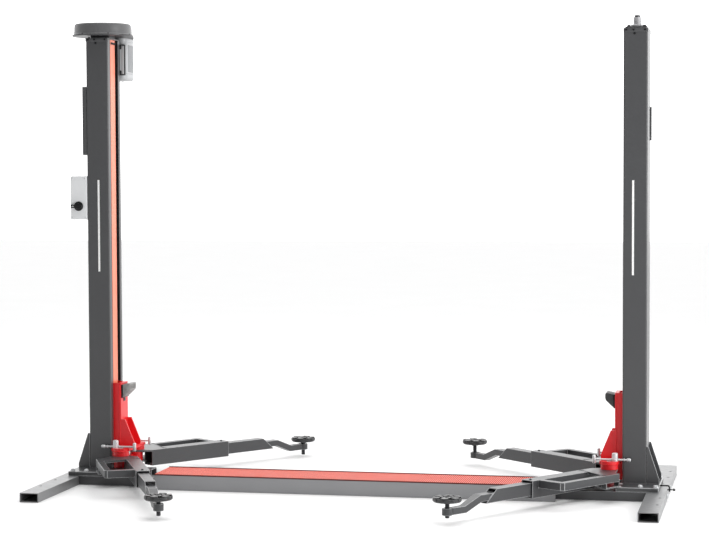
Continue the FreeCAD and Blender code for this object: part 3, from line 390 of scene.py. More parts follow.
def hex_bolt(bm, spot, axis, size, spin=0.3, washer=True):
    """Hexagon head on its washer; size is the thread's diameter."""
    place = facing(spot, axis, spin)
    base = 0.0
    if washer:
        base = size * 0.18
        lathe(bm, scaled(size, (0.52, 0), (1.0, 0), (1.06, 0.054), (1.06, 0.126), (1.0, 0.18), (0.52, 0.18)),
              place, 28, closed=True)
    head = scaled(size, (0.88, 0), (0.88, 0.5084), (0.7744, 0.62), (0.4, 0.62), (0.34, 0.558), (0, 0.558))
    lathe(bm, lifted(head, base), place, 6)


def cap_screw(bm, spot, axis, size):
    """Round head with a hexagon socket."""
    head = scaled(size, (0.8, 0), (0.85, 0.1), (0.85, 0.5), (0.72, 0.62), (0.40, 0.62), (0.34, 0.3), (0, 0.3))
    lathe(bm, head, facing(spot, axis), 24)


def button_head(bm, spot, axis, size):
    """Low domed head with a socket."""
    head = scaled(size, (0.86, 0), (0.90, 0.04), (0.82, 0.13), (0.60, 0.19), (0.36, 0.20), (0.30, 0.08),
                  (0, 0.08))
    lathe(bm, head, facing(spot, axis), 28)


def piece(bm, name, body, slot, look=None, angle=32.0, stands_for=None):
    """Finished mesh object that rides on a body and may stand for a CAD node."""
    bmesh.ops.recalc_face_normals(bm, faces=bm.faces[:])
    mesh = bpy.data.meshes.new(name)
    bm.to_mesh(mesh)
    bm.free()
    for face in mesh.polygons:
        face.use_smooth = True
    mesh.set_sharp_from_angle(angle=math.radians(angle))
    mesh.materials.append(look or LOOKS[slot])
    obj = bpy.data.objects.new(name, mesh)
    bpy.context.scene.collection.objects.link(obj)
    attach(obj, body)
    if stands_for:
        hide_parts(stands_for)


# CAD nodes: materials and softened edges

NO_SOFTENING = ("motor", "drive_cover", "left_post", "right_post")
SOFT_WIDTHS = {
    "control_box": 0.006, "cable_duct": 0.003, "limit_switch_box": 0.0015, "drive_plate": 0.001,
    "floor_channel": 0.0012, "floor_tread": 0.0012, "left_cover_band": 0.0005, "right_cover_band": 0.0005,
    "left_spindle": 0.0012, "right_spindle": 0.0012, "right_spindle_cap": 0.003,
    "left_base_plate": 0.0040, "right_base_plate": 0.0040, "left_cross_tube": 0.0035,
    "right_cross_tube": 0.0035, "front_floor_beam": 0.0035, "rear_floor_beams": 0.0035,
}
ARM_SOFT_WIDTH = 0.0022
OTHER_SOFT_WIDTH = 0.0018
OWN_LOOK = {
    "left_cover_band": BAND_PAINTED_SHEEN, "right_cover_band": BAND_PAINTED_SHEEN, "floor_tread": TREAD_GROOVE_SHADE,
    "right_spindle_cap": LOOKS["screw_steel"],
}
# Parts whose rounded edges get the painted edge highlight
EDGE_HIGHLIGHT_WORDS = ("_arm", "extension", "base_plate", "gusset", "cross_tube", "floor_beam")


def modifier(obj, name, kind, **values):
    made = obj.modifiers.new(name, kind)
    for key, value in values.items():
        setattr(made, key, value)


def soften(obj, width, of_arm, highlight_edges):
    """Rounded edges, which on some parts have a lighter material of their own: a painted highlight along the
    edges.
    """
    edge_slot = -1
    if highlight_edges:
        edge_slot = len(obj.material_slots)
        obj.data.materials.append(EDGE_HIGHLIGHT)
    modifier(obj, "merge", "WELD", merge_threshold=0.00002)
    modifier(obj, "flatten", "DECIMATE", decimate_type="DISSOLVE", angle_limit=math.radians(0.3))
    modifier(obj, "soften", "BEVEL", width=width, segments=2, limit_method="ANGLE", material=edge_slot,
             angle_limit=math.radians(40), use_clamp_overlap=not of_arm)
    modifier(obj, "steady", "WEIGHTED_NORMAL", keep_sharp=False)


def dress_cad_nodes():
    for node_name, obj in nodes.items():
        for held in obj.material_slots:
            slot_name = held.material.name.split(".")[0]
            held.material = OWN_LOOK.get(node_name, LOOKS[slot_name])
        if node_name in NO_SOFTENING:
            continue
        of_arm = "_arm" in node_name or "extension" in node_name
        highlight_edges = "lock" not in node_name and any(word in node_name for word in EDGE_HIGHLIGHT_WORDS)
        width = SOFT_WIDTHS.get(node_name, ARM_SOFT_WIDTH if of_arm else OTHER_SOFT_WIDTH)
        soften(obj, width, of_arm, highlight_edges)


# Floor frame and cover

def floor_tread():
    """Ribs across the tread, and its dark front and rear edges."""
    rib_count = 204
    first = -CHANNEL_HALF + 0.007
    pitch = -2 * first / (rib_count - 1)
    rib = mm((-3.1, -0.4), (3.1, -0.4), (2.6, 1.2), (-2.6, 1.2))
    bm = bmesh.new()
    for i in range(rib_count):
        outline = [(first + pitch * i + x, TREAD_TOP + z) for x, z in rib]
        prism(bm, outline, -CHANNEL_REAR + 0.007, -CHANNEL_FRONT - 0.005, ON_EDGE)
    piece(bm, "tread_ribs", "root", "red_plastic")

    length = around(0, CHANNEL_HALF - 0.001)
    bm = bmesh.new()
    for y, top in ((CHANNEL_FRONT + 0.0012, TREAD_TOP), (CHANNEL_REAR - 0.0015, TREAD_TOP + 0.0046)):
        block(bm, length, around(y, 0.0022), (TREAD_TOP - 0.006, top), soft=0.0006, steps=1)
    piece(bm, "tread_edges", "root", "red_plastic", TREAD_EDGE)


def base_plate_bolts():
    """Hexagon heads on the base plates, with low heads where the arms pass over them."""
    outer_row = 1.642
    middle_row = 1.560
    inner_row = 1.4475
    plate_end = 1.700
    front = -0.235
    rear = 0.120
    bm = bmesh.new()
    for s in SIDES.values():
        for x, y in ((outer_row, front), (outer_row, rear), (middle_row, front)):
            hex_bolt(bm, (s * x, y, PLATE_TOP), UP, 0.014, spin=x * 9)
        for y in (front, -0.140, rear):
            button_head(bm, (s * inner_row, y, PLATE_TOP), UP, 0.014)
        for y in (-0.212, 0.095):
            hex_bolt(bm, (s * plate_end, y, 0.027), (s, 0, 0), 0.012, spin=y * 5)
    piece(bm, "base_plate_bolts", "root", "zinc")


def frame_welds():
    """Beads where the beams, cross tubes, base plates, posts and gussets meet."""
    tube_face = 1.595
    beam_top = 0.0495
    post_open = 1.4535
    post_side = (1.4545, 1.5800)
    post_back = 1.5845
    gusset = (1.588, 1.651)
    gusset_top = PLATE_TOP + 0.192
    bm = bmesh.new()
    for s in SIDES.values():
        for y in (-0.262, -0.162, 0.045, 0.145):
            weld(bm, (s * tube_face, y, 0.004), (s * tube_face, y, 0.047), 0.003)
        for near, far in ((-0.258, -0.166), (0.050, 0.140)):
            weld(bm, (s * tube_face, near, beam_top), (s * tube_face, far, beam_top), 0.003)
        for near, far in ((-0.108, -0.070), (0.070, 0.108)):
            weld(bm, (s * post_open, near, PLATE_TOP), (s * post_open, far, PLATE_TOP), 0.004)
        for y in (-POST_DEEP, POST_DEEP):
            weld(bm, (s * post_side[0], y, PLATE_TOP), (s * post_side[1], y, PLATE_TOP), 0.004)
        weld(bm, (s * post_back, -0.098, PLATE_TOP), (s * post_back, 0.098, PLATE_TOP), 0.004)
        for y in (-0.1085, -0.1005, 0.1005, 0.1085):
            weld(bm, (s * gusset[0], y, PLATE_TOP), (s * gusset[1], y, PLATE_TOP), 0.003)
        for y in (-0.1005, 0.1005):
            weld(bm, (s * post_back, y, PLATE_TOP + 0.01), (s * post_back, y, gusset_top), 0.003)
    piece(bm, "frame_welds", "root", "dark_paint", WELD)


def clamp_hook():
    """Bent clamp over the right base plate, with its wing bolt."""
    y = -0.190
    over = 0.0795
    outside = 1.7125
    bolt_z = 0.058
    bm = bmesh.new()
    corners = [Vector((1.660, y, over)), Vector((outside, y, over)), Vector((outside, y, 0.048))]
    sweep(bm, rounded_path(corners, 0.012), 0.0042, 14)
    sweep(bm, [Vector((1.7005, y, bolt_z)), Vector((1.742, y, bolt_z))], 0.0032, 12)
    lathe(bm, mm((0, -4), (6.5, -4), (7.5, -2), (7.5, 2), (6.5, 4), (0, 4)),
          facing((1.736, y, bolt_z), (1, 0, 0)), 20)
    block(bm, (1.7400, 1.7440), around(y, 0.013), around(bolt_z, 0.0035), soft=0.0012)
    piece(bm, "clamp_hook", "root", "black_plastic")


# Posts

def post_stripes():
    """Plain white line on the front of each post."""
    bm = bmesh.new()
    for x, low, high in ((-1.5155, 1.203, 1.724), (1.5078, 1.203, 1.714)):
        block(bm, around(x, 0.0055), (-POST_DEEP - 0.0004, -POST_DEEP + 0.0002), (low, high),
              soft=0.0001, steps=1)
    piece(bm, "post_stripes", "root", "box_paint", WHITE)


def post_top_bolts():
    """Bolts of both top plates, and those of the right bearing block."""
    bm = bmesh.new()
    for side, s in SIDES.items():
        for x in (-0.051, 0.051):
            for y in (-0.092, 0.092):
                hex_bolt(bm, (s * POST_X + x, y, TOP_PLATE_TOP), UP, 0.008, spin=x * 40)
        if side == "right":
            for x in (-0.042, 0.042):
                for y in (-0.042, 0.042):
                    hex_bolt(bm, (POST_X + x, y, BEARING_TOP), UP, 0.010, spin=y * 30)
    piece(bm, "post_top_bolts", "root", "black_plastic")


def spindle_collar():
    """Collar and fine rings round the right spindle's end."""
    home = Matrix.Translation((POST_X, 0, BEARING_TOP))
    bm = bmesh.new()
    lathe(bm, mm((20.5, 0), (34, 0), (36, 2), (36, 9), (33, 12), (20.5, 12)), home, closed=True)
    for z in (0.018, 0.026, 0.034):
        ring = mm((19.6, 0), (21.2, 0.8), (21.2, 2.4), (19.6, 3.2))
        lathe(bm, lifted(ring, z), home, closed=True)
    piece(bm, "right_spindle_collar", "root", "spindle_steel")


def post_top_angles():
    """Angle plates over the front and rear of each post's top, with their bolts."""
    inner = 0.1082
    outer = 0.1118
    bm = bmesh.new()
    for s in SIDES.values():
        for face in ENDS:
            block(bm, around(s * POST_X, POST_HALF), sorted((face * inner, face * outer)),
                  (2.509, TOP_PLATE_TOP - 0.0002), soft=0.0008)
    piece(bm, "post_top_angles", "root", "dark_paint")

    plug = mm((0, 0), (6.2, 0), (6.6, 0.6), (6.6, 1.8), (5.2, 3.0), (0, 3.4))
    bm = bmesh.new()
    for s in SIDES.values():
        for face in ENDS:
            for x in (-0.050, -0.012, 0.050):
                hex_bolt(bm, (s * POST_X + x, face * outer, 2.520), (0, face, 0), 0.007, washer=False)
            lathe(bm, plug, facing((s * POST_X - 0.006, face * POST_DEEP, 2.500), (0, face, 0)), 20)
    piece(bm, "post_angle_bolts", "root", "black_plastic")


def band_screws():
    """Screws that hold the cover bands at the top."""
    band_face = POST_X - 0.0575
    height = 2.502
    bm = bmesh.new()
    for s in SIDES.values():
        for y in (-0.024, 0.0, 0.024):
            hex_bolt(bm, (s * band_face, y, height), (-s, 0, 0), 0.007)
    piece(bm, "band_screws", "root", "black_plastic")


# Drive on the left post

COVER_RADIUS = 0.162
COVER_TAIL = 0.095


def egg_outline(grow):
    """Plan of the drive housing: the hull of two circles, grown outward."""
    big = COVER_RADIUS + grow
    small = COVER_TAIL + grow
    lean = math.asin((big - small) / MOTOR_Y)
    steps = 36
    points = []
    for i in range(steps + 1):
        angle = math.pi - lean + (math.pi + 2 * lean) * i / steps
        points.append((big * math.cos(angle), big * math.sin(angle)))
    for i in range(steps + 1):
        angle = lean + (math.pi - 2 * lean) * i / steps
        points.append((small * math.cos(angle), MOTOR_Y + small * math.sin(angle)))
    return points


def belt_cover():
    """Moulded cover with a rim, a crowned side and a groove round its top."""
    shell = mm((10, 0.5), (10.8, 1.2), (10.8, 3.4), (9.8, 4.2), (4.5, 6.2), (2.2, 9), (1.2, 13), (0, 30),
               (-0.8, 52), (-2.2, 59), (-5.2, 63.6), (-10, 66.2), (-17, 66.9), (-50, 67.2), (-52, 66),
               (-54.5, 66), (-56.5, 67.2), (-90, 67.5))
    bm = bmesh.new()
    stacked(bm, [(egg_outline(grow), DRIVE_PLATE_TOP + z) for grow, z in shell],
            Matrix.Translation((-POST_X, 0, 0)))
    piece(bm, "belt_cover", "root", "dark_plastic", angle=50, stands_for="drive_cover")

    rim = egg_outline(0.0062)
    bm = bmesh.new()
    for i in (4, 14, 23, 32, 44, 58, 68):
        x, y = rim[i]
        cap_screw(bm, (x - POST_X, y, DRIVE_PLATE_TOP + 0.0040), UP, 0.006)
    piece(bm, "belt_cover_screws", "root", "black_plastic")


def rounded_square(size, corner, steps=8):
    points = []
    for cx, cy, start in ((1, 1, 0), (-1, 1, 90), (-1, -1, 180), (1, -1, 270)):
        for k in range(steps + 1):
            angle = math.radians(start + 90 * k / steps)
            points.append((cx * (size - corner) + corner * math.cos(angle),
                           cy * (size - corner) + corner * math.sin(angle)))
    return points


def motor():
    """Casing with its fan cowl, flange and cooling ribs."""
    low = BEARING_TOP - MOTOR_HEIGHT
    home = Matrix.Translation((-POST_X, MOTOR_Y, 0))
    # half width, corner radius and height of each level, in millimetres
    levels = ((72, 30, 0), (82, 34, 1.5), (87.8, 38, 8), (89.5, 40, 18), (89.5, 40, 34), (87, 38, 36),
              (87, 38, 40), (89.2, 40, 42), (89.5, 40, 214), (87.5, 38, 217), (87.5, 38, 221),
              (90, 40, 224), (90, 40, 243))
    outlines = [(rounded_square(half * 0.001, corner * 0.001), low + z * 0.001) for half, corner, z in levels]
    rib_pitch = 0.0105
    bm = bmesh.new()
    stacked(bm, outlines, home)
    for face_turn in (0, 90, 180):
        turned = home @ Matrix.Rotation(math.radians(face_turn), 4, "Z")
        for k in range(-4, 5):
            block(bm, (0.0880, 0.0925), around(k * rib_pitch, 0.0016), (low + 0.050, low + 0.206), turned,
                  soft=0.0008, steps=1)
    piece(bm, "motor_casing", "root", "motor_alloy", angle=35, stands_for="motor")


def terminal_box():
    """Ribbed lid on a dark gasket with a clamp above and below."""
    bm = bmesh.new()
    block(bm, (-1.534, -1.4285), (0.1165, 0.1375), (2.3275, 2.5045), soft=0.004, steps=3)
    for z in (2.343, 2.489):
        block(bm, (-1.516, -1.446), (0.1060, 0.1180), around(z, 0.012), soft=0.003)
    piece(bm, "terminal_box_gasket", "root", "black_plastic", DARK_GAP)

    lid_front = 0.1125
    first_rib = -1.508
    rib_pitch = 0.0135
    bm = bmesh.new()
    block(bm, (-1.529, -1.4335), (lid_front, 0.120), (2.334, 2.498), soft=0.003, steps=3)
    for k in range(5):
        block(bm, around(first_rib + k * rib_pitch, 0.002), (0.1105, 0.114), (2.350, 2.482),
              soft=0.0009, steps=1)
    for x in (-1.524, -1.4385):
        for z in (2.340, 2.492):
            cap_screw(bm, (x, lid_front, z), FRONT, 0.0045)
    piece(bm, "terminal_box_lid", "root", "motor_alloy")


def motor_bolts():
    """Flange bolts and the screws of the fan cowl."""
    low = BEARING_TOP - MOTOR_HEIGHT
    flange = BEARING_TOP - 0.019
    cowl_radius = 0.052
    bm = bmesh.new()
    for x in (-0.066, 0.066):
        for y in (-0.066, 0.066):
            hex_bolt(bm, (x - POST_X, y + MOTOR_Y, flange), DOWN, 0.008, washer=False)
    for turn in range(0, 360, 60):
        angle = math.radians(turn)
        spot = (cowl_radius * math.cos(angle) - POST_X, cowl_radius * math.sin(angle) + MOTOR_Y, low)
        cap_screw(bm, spot, DOWN, 0.005)
    piece(bm, "motor_bolts", "root", "zinc")


# Switch gear

BOX_X = (-1.6855, -1.5845)
BOX_Y = (-0.110, 0.090)
BOX_Z = (1.498, 1.746)
SWITCH_SPOT = (-1.635, -0.1103, 1.575)


def control_box():
    """Lid seam, lid screws, hinges and a plug on the control box."""
    bm = bmesh.new()
    block(bm, (BOX_X[0] - 0.0006, BOX_X[1]), (BOX_Y[0] + 0.028, BOX_Y[0] + 0.0305),
          (BOX_Z[0] - 0.0006, BOX_Z[1] + 0.0006), soft=0.0003, steps=1)
    piece(bm, "control_lid_seam", "root", "black_plastic", DARK_GAP)

    bm = bmesh.new()
    for x in (BOX_X[0] + 0.011, BOX_X[1] - 0.011):
        for z in (BOX_Z[0] + 0.013, BOX_Z[1] - 0.013):
            cap_screw(bm, (x, BOX_Y[0], z), FRONT, 0.005)
    piece(bm, "control_lid_screws", "root", "zinc")

    hinge = mm((0, -14), (4.2, -14), (4.8, -13), (4.8, 13), (4.2, 14), (0, 14))
    plug = mm((0, 0), (9, 0), (9.5, 1), (9.5, 4), (7, 6), (0, 6))
    bm = bmesh.new()
    for z in (BOX_Z[0] + 0.05, BOX_Z[1] - 0.05):
        lathe(bm, hinge, Matrix.Translation((BOX_X[0] - 0.002, BOX_Y[0] + 0.029, z)), 20)
    lathe(bm, plug, facing((-1.597, 0.070, BOX_Z[1]), UP), 20)
    piece(bm, "control_box_fittings", "root", "black_plastic")


def main_switch():
    """Rotary switch: disc, boss and a handle that widens towards its tip."""
    home = facing(SWITCH_SPOT, FRONT)
    upright = Matrix.Translation(SWITCH_SPOT) @ ON_EDGE
    handle = mm((-40, -8), (-37.5, -10.2), (-31, -9.8), (-26, -7.8), (10, -7.4), (24.2, -6.2), (25, 0),
                (24.2, 6.2), (10, 7.4), (-26, 7.8), (-31, 9.8), (-37.5, 10.2), (-40, 8))
    bm = bmesh.new()
    lathe(bm, mm((0, 0), (26.2, 0), (27, 0.8), (27, 5.5), (25.5, 7.8), (22, 9), (0, 9)), home, 48)
    lathe(bm, mm((16.5, 8.5), (16.5, 17.5), (15, 20), (0, 20.5)), home)
    prism(bm, handle, 0.0090, 0.0270, upright, soft=0.0016)
    piece(bm, "rotary_switch", "switch", "black_plastic", angle=40, stands_for="main_switch")

    bm = bmesh.new()
    block(bm, (-0.0345, -0.020), around(0, 0.0011), (0.0268, 0.0274), upright, soft=0.0002, steps=1)
    piece(bm, "switch_pointer", "switch", "box_paint", WHITE)


def duct_screws():
    """Screws in the cable duct and the limit switch box."""
    bm = bmesh.new()
    for z in (1.882, 1.985, 2.135, 2.238):
        cap_screw(bm, (-1.6095, -0.086, z), (-1, 0, 0), 0.005)
    for z in (1.942, 2.101):
        cap_screw(bm, (1.5925, -0.089, z), (1, 0, 0), 0.004)
    piece(bm, "duct_screws", "root", "zinc")


# Carriages, drawn with the post's middle at the origin and its open side at +X

def at_post(side):
    """Placement of a post, turned so that both open towards the bay."""
    turn = Matrix.Rotation(math.pi, 4, "Z") if side == "right" else STILL
    return Matrix.Translation((SIDES[side] * POST_X, 0, 0)) @ turn


def carriage_welds(side, home):
    """Seams of the yoke with its ribs and hinge bosses, and of the face plate."""
    plate_front = 0.109
    plate_back = 0.101
    plate_edge = 0.0615
    rib_side = 0.0515
    rib_top = 0.348
    rib_end = 0.183
    boss_radius = 0.047
    bm = bmesh.new()
    for y in (-rib_side, rib_side):
        weld(bm, (plate_front, y, 0.200), (plate_front, y, rib_top), 0.003, home)
        weld(bm, (0.112, y, YOKE_TOP), (rib_end, y, YOKE_TOP), 0.003, home)
    weld(bm, (plate_front, -0.050, YOKE_TOP), (plate_front, 0.050, YOKE_TOP), 0.0035, home)
    for y in (-plate_edge, plate_edge):
        weld(bm, (plate_back, y, 0.205), (plate_back, y, 0.552), 0.0025, home)
    for y in (-HINGE_SIDE, HINGE_SIDE):
        ring_weld(bm, (HINGE_OUT, y, 0.182), boss_radius, 0.003, home)
    piece(bm, f"{side}_carriage_welds", f"{side}_lift", "red_paint")


def door_bumper(side, home):
    """Moulded rubber wedge with ribs on its face, on a black foot."""
    bm = bmesh.new()
    block(bm, (0.1085, 0.1115), around(0, 0.017), (0.4525, 0.4715), home, soft=0.0012)
    block(bm, (0.1085, 0.1175), around(0, 0.0575), (0.4745, 0.5500), home, soft=0.0015)
    piece(bm, f"{side}_bumper_foot", f"{side}_lift", "black_plastic")

    wedge = mm((118, 479.5), (120.5, 480), (158.5, 516.5), (161, 521), (161, 554.5), (157.5, 558), (118, 550))
    rib_pitch = 0.0118
    bm = bmesh.new()
    prism(bm, wedge, -0.055, 0.055, home @ ON_EDGE, soft=0.0025)
    for k in range(-4, 5):
        block(bm, (0.1600, 0.1632), around(k * rib_pitch, 0.0028), (0.526, 0.551), home, soft=0.0012)
    piece(bm, f"{side}_bumper_moulding", f"{side}_lift", "rubber", BUMPER_LOOK[side], angle=40,
          stands_for=f"{side}_door_bumper")


def hinge_pins(side, home):
    """Hinge pins, each with its nut, washer and grease nipple."""
    pin = mm((0, 58), (16.5, 58), (19, 60.5), (19, 193.5), (17, 196), (6, 196), (5.5, 193), (0, 193))
    nut = mm((19, 61), (26.2, 61), (29.8, 63.5), (29.8, 75.5), (27, 77.2), (19, 77.2))
    washer = mm((19, 77.2), (30, 77.2), (30.4, 77.8), (30.4, 79.8), (30, 80.6), (19, 80.6))
    nipple = mm((0, 192), (3.5, 192), (3.5, 197.5), (2.2, 199), (3, 200.5), (1.5, 202.5), (0, 202.5))
    bm = bmesh.new()
    for y in (-HINGE_SIDE, HINGE_SIDE):
        spot = home @ Matrix.Translation((HINGE_OUT, y, 0))
        lathe(bm, pin, spot)
        lathe(bm, nut, spot @ Matrix.Rotation(0.4, 4, "Z"), 6, closed=True)
        lathe(bm, washer, spot, closed=True)
        lathe(bm, nipple, spot @ Matrix.Translation((0.010, 0, 0)), 12)
    piece(bm, f"{side}_pins_and_nuts", f"{side}_lift", "zinc", angle=35, stands_for=f"{side}_hinge_pins")


def arm_locks(side, home):
    """Domed housing, cross bar with its collars, knob and upright end piece."""
    housing = mm((0, 0), (16, 0), (16, 3.5), (14.8, 4.2), (14.8, 5.2), (16, 6), (16, 37.5), (15.6, 40.5),
                 (14.2, 43.2), (11.8, 45), (8, 45.8), (0, 46))
    knob = mm((0, 0), (4.5, 0.4), (7.8, 2.2), (9.3, 5.2), (9.5, 8), (9.5, 17), (9, 20), (7.2, 22.8),
              (5.8, 24), (0, 24))
    end_piece = mm((0, -24), (5, -23.6), (8.2, -21.8), (9.5, -19), (9.5, 19), (8.2, 21.8), (5, 23.6), (0, 24))
    bar_start = 0.038
    bar_end = 0.214
    level = YOKE_TOP + 0.008
    bm = bmesh.new()
    for y in (-HINGE_SIDE, HINGE_SIDE):
        lathe(bm, housing, home @ Matrix.Translation((0.102, y, YOKE_TOP)))
        sweep(bm, [home @ Vector((bar_start, y, level)), home @ Vector((bar_end, y, level))], 0.0055, 18)
        for x, r in ((0.052, 7.8), (0.082, 7.2), (0.122, 7.2)):
            collar = mm((5.4, -3), (r - 0.8, -3), (r, -2.2), (r, 2.2), (r - 0.8, 3), (5.4, 3))
            lathe(bm, collar, home @ facing((x, y, level), (1, 0, 0)), 24, closed=True)
        lathe(bm, knob, home @ facing((0.016, y, level), (1, 0, 0)), 28)
        lathe(bm, end_piece, home @ Matrix.Translation((bar_end, y, level)), 28)
    piece(bm, f"{side}_lock_assembly", f"{side}_lift", "zinc", angle=40, stands_for=f"{side}_arm_locks")


# Arms, drawn along +X from their hinge

def arm_welds(name, arm, hinge):
    """Fork plates to the tube and the strut, the strut's far end to the tube, and the slide stop."""
    inner_face = -arm.out * (TUBE_OFFSET + TUBE_HALF)
    outer_face = -arm.out * (TUBE_OFFSET - TUBE_HALF)
    tube_middle = -arm.out * TUBE_OFFSET
    strut_in = arm.out * STRUT_INNER
    strut_out = arm.out * STRUT_OUTER
    fork_on_tube = 0.150
    fork_on_strut = 0.212
    stop_x = 0.585
    bm = bmesh.new()
    weld(bm, (fork_on_tube, inner_face, ARM_TOP), (fork_on_tube, tube_middle, ARM_TOP), 0.0022, hinge)
    weld(bm, (fork_on_tube, tube_middle, ARM_TOP), (0.210, strut_in, ARM_TOP), 0.0022, hinge)
    weld(bm, (fork_on_strut, strut_in, ARM_TOP), (fork_on_strut, strut_out, ARM_TOP), 0.0022, hinge)
    for x in (0.533, 0.566):
        weld(bm, (x, outer_face, 0.118), (x, outer_face, ARM_TOP - 0.004), 0.003, hinge)
    for z in (0.0905, 0.1415):
        weld(bm, (0.060, outer_face, z), (0.148, outer_face, z), 0.003, hinge)
    weld(bm, (0.108, strut_in, 0.112), (0.200, strut_in, 0.112), 0.0025, hinge)
    piece(bm, f"{name}_arm_welds", f"{name}_swing", "arm_paint")

    bm = bmesh.new()
    hex_bolt(bm, hinge @ Vector((stop_x, tube_middle, ARM_TOP)), UP, 0.007, spin=0.5)
    piece(bm, f"{name}_slide_stop", f"{name}_swing", "screw_steel")


def neck_welds(name, at_pad):
    """Neck into the tube's mouth, and holder to the neck."""
    bm = bmesh.new()
    for y in (-0.025, 0.025):
        weld(bm, (-0.332, y, 0.1220), (-0.275, y, 0.0880), 0.0025, at_pad)
    weld(bm, (-0.318, -0.022, 0.1232), (-0.318, 0.022, 0.1232), 0.003, at_pad)
    ring_weld(bm, (0, 0, 0.078), 0.0262, 0.0022, at_pad, 110, 140)
    for y in (-0.0185, 0.0185):
        weld(bm, (-0.0215, y, 0.044), (-0.0215, y, 0.076), 0.0022, at_pad)
    piece(bm, f"{name}_neck_welds", f"{name}_slide", "arm_paint")


def lifting_pad(name, raised, at_pad):
    """Dished rubber disc with a notched rim and raised ribs, its centre screw and its threaded spindle."""
    low = PAD_BOTTOM + raised
    high = low + PAD_HEIGHT
    pocket = high - 0.0110
    rides_on = f"{name}_lifting_pad"
    base = lifted(mm((0, -8), (19.5, -8), (21, -6.5), (21, 0), (30, 0.8), (64, 0.8), (66.8, 1.2), (71.8, 5.8),
                     (73, 8.5), (71.2, 10)), low)
    rim = lifted(mm((71.2, -8), (70.4, -6.6), (69, -6), (66.5, -6), (65.2, -6.6), (64.6, -8), (64.2, -10.5),
                    (0, -10.5)), high)
    boss = lifted(mm((10, -10), (18, -10), (18, -3), (16.8, -1.8), (11.2, -1.8), (10, -3)), high)
    bm = bmesh.new()
    lathe(bm, base + rim, at_pad, 72)
    for k in range(6):
        start = 60 * k + 13
        sector(bm, 0.0420, 0.0705, start, 36, pocket, high, at_pad, soft=0.0016)
        sector(bm, 0.0215, 0.0385, start + 30, 38, pocket, high, at_pad, steps=4, soft=0.0014)
    lathe(bm, boss, at_pad, closed=True)
    for k in range(12):
        sector(bm, 0.0700, 0.0735, 30 * k + 4, 21, low + 0.0086, high - 0.0062, at_pad, soft=0.0007)
    piece(bm, f"{name}_pad_moulding", rides_on, "pad_rubber", angle=35, stands_for=f"{name}_pad")

    screw = mm((0, -9.6), (8.5, -9.6), (9, -9), (9, -5.8), (8, -4.8), (5, -4.8), (4.5, -7.5), (0, -7.5))
    bm = bmesh.new()
    lathe(bm, lifted(screw, high), at_pad, 30)
    piece(bm, f"{name}_pad_centre_screw", rides_on, "zinc")

    bm = bmesh.new()
    thread(bm, SCREW_LOW + raised, low - 0.0085, 0.0120, 0.005, 0.0016, at_pad)
    piece(bm, f"{name}_threaded_screw", rides_on, "screw_steel", angle=60, stands_for=f"{name}_pad_screw")


# Floor, light and camera

def studio_floor():
    bm = bmesh.new()
    bmesh.ops.create_grid(bm, x_segments=8, y_segments=8, size=40.0)
    mesh = bpy.data.meshes.new("studio_floor")
    bm.to_mesh(mesh)
    bm.free()
    mesh.materials.append(shader("pale_floor", (0.93, 0.93, 0.93), 0.75, tint=0.006, patch=1.2, grain=60,
                                 bump=0.02, specular=0.2))
    floor = bpy.data.objects.new("studio_floor", mesh)
    bpy.context.scene.collection.objects.link(floor)
    floor.location = (0, 0, -0.0005)


def studio_world():
    """White surroundings, brighter behind the lift than in front of it."""
    world = bpy.data.worlds.new("studio")
    bpy.context.scene.world = world
    world.use_nodes = True
    tree = world.node_tree
    back = tree.nodes["Background"]
    back.inputs["Color"].default_value = (1.0, 1.0, 1.0, 1.0)
    direction = tree.nodes.new("ShaderNodeTexCoord")
    parts = tree.nodes.new("ShaderNodeSeparateXYZ")
    ramp = tree.nodes.new("ShaderNodeMapRange")
    ramp.interpolation_type = "SMOOTHSTEP"
    limits = {"From Min": -0.6, "From Max": 0.9, "To Min": 0.38, "To Max": 1.9}
    for socket, number in limits.items():
        ramp.inputs[socket].default_value = number
    tree.links.new(direction.outputs["Generated"], parts.inputs["Vector"])
    tree.links.new(parts.outputs["Y"], ramp.inputs["Value"])
    tree.links.new(ramp.outputs["Result"], back.inputs["Strength"])


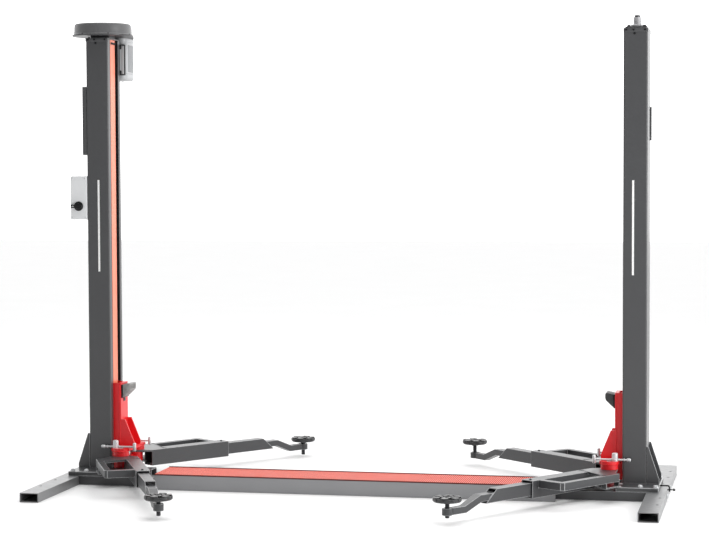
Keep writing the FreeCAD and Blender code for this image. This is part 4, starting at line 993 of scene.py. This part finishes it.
def softbox(name, spot, target, size, power):
    light = bpy.data.lights.new(name, "AREA")
    light.shape = "RECTANGLE"
    light.size, light.size_y = size
    light.energy = power
    lamp = bpy.data.objects.new(name, light)
    bpy.context.scene.collection.objects.link(lamp)
    lamp.location = spot
    lamp.rotation_mode = "QUATERNION"
    lamp.rotation_quaternion = (Vector(target) - Vector(spot)).to_track_quat("-Z", "Y")


def photo_camera():
    """Camera at the photograph's place and viewing angle."""
    spot = (2.328, -11.018, 1.759)
    heading = 12.18
    tilt = 2.93
    roll = -0.21
    data = bpy.data.cameras.new("photo_camera")
    data.sensor_fit = "HORIZONTAL"
    data.sensor_width = 36.0
    data.lens = 102.25
    data.clip_start = 0.1
    data.clip_end = 200.0
    camera = bpy.data.objects.new("photo_camera", data)
    bpy.context.scene.collection.objects.link(camera)
    aim = Matrix.Rotation(math.radians(heading), 4, "Z") @ Matrix.Rotation(math.radians(90.0 - tilt), 4, "X")
    aim = aim @ Matrix.Rotation(math.radians(roll), 4, "Z")
    camera.matrix_world = Matrix.Translation(spot) @ aim
    bpy.context.scene.camera = camera


# The whole scene

dress_cad_nodes()
for make_part in (floor_tread, base_plate_bolts, frame_welds, clamp_hook, post_stripes, post_top_bolts,
                  spindle_collar, post_top_angles, band_screws, belt_cover, motor, terminal_box, motor_bolts,
                  control_box, main_switch, duct_screws):
    make_part()
for side_name in SIDES:
    post_home = at_post(side_name)
    for make_part in (carriage_welds, door_bumper, hinge_pins, arm_locks):
        make_part(side_name, post_home)
for arm_name, arm_place in ARMS.items():
    hinge_spot = (arm_place.side * (POST_X - HINGE_OUT), arm_place.end * HINGE_SIDE, 0)
    hinge_home = Matrix.Translation(hinge_spot) @ Matrix.Rotation(math.radians(arm_place.heading), 4, "Z")
    pad_home = hinge_home @ Matrix.Translation((arm_place.reach, -arm_place.out * TUBE_OFFSET, 0))
    arm_welds(arm_name, arm_place, hinge_home)
    neck_welds(arm_name, pad_home)
    lifting_pad(arm_name, arm_place.raised, pad_home)

studio_floor()
studio_world()
softbox("overhead", (0.5, -0.5, 6.5), (0, 0, 0), (6.0, 5.0), 160.0)
softbox("right_side", (6.5, -2.5, 2.4), (0, 0, 1.0), (3.0, 3.5), 260.0)
photo_camera()
bpy.context.scene.view_settings.view_transform = "Standard"
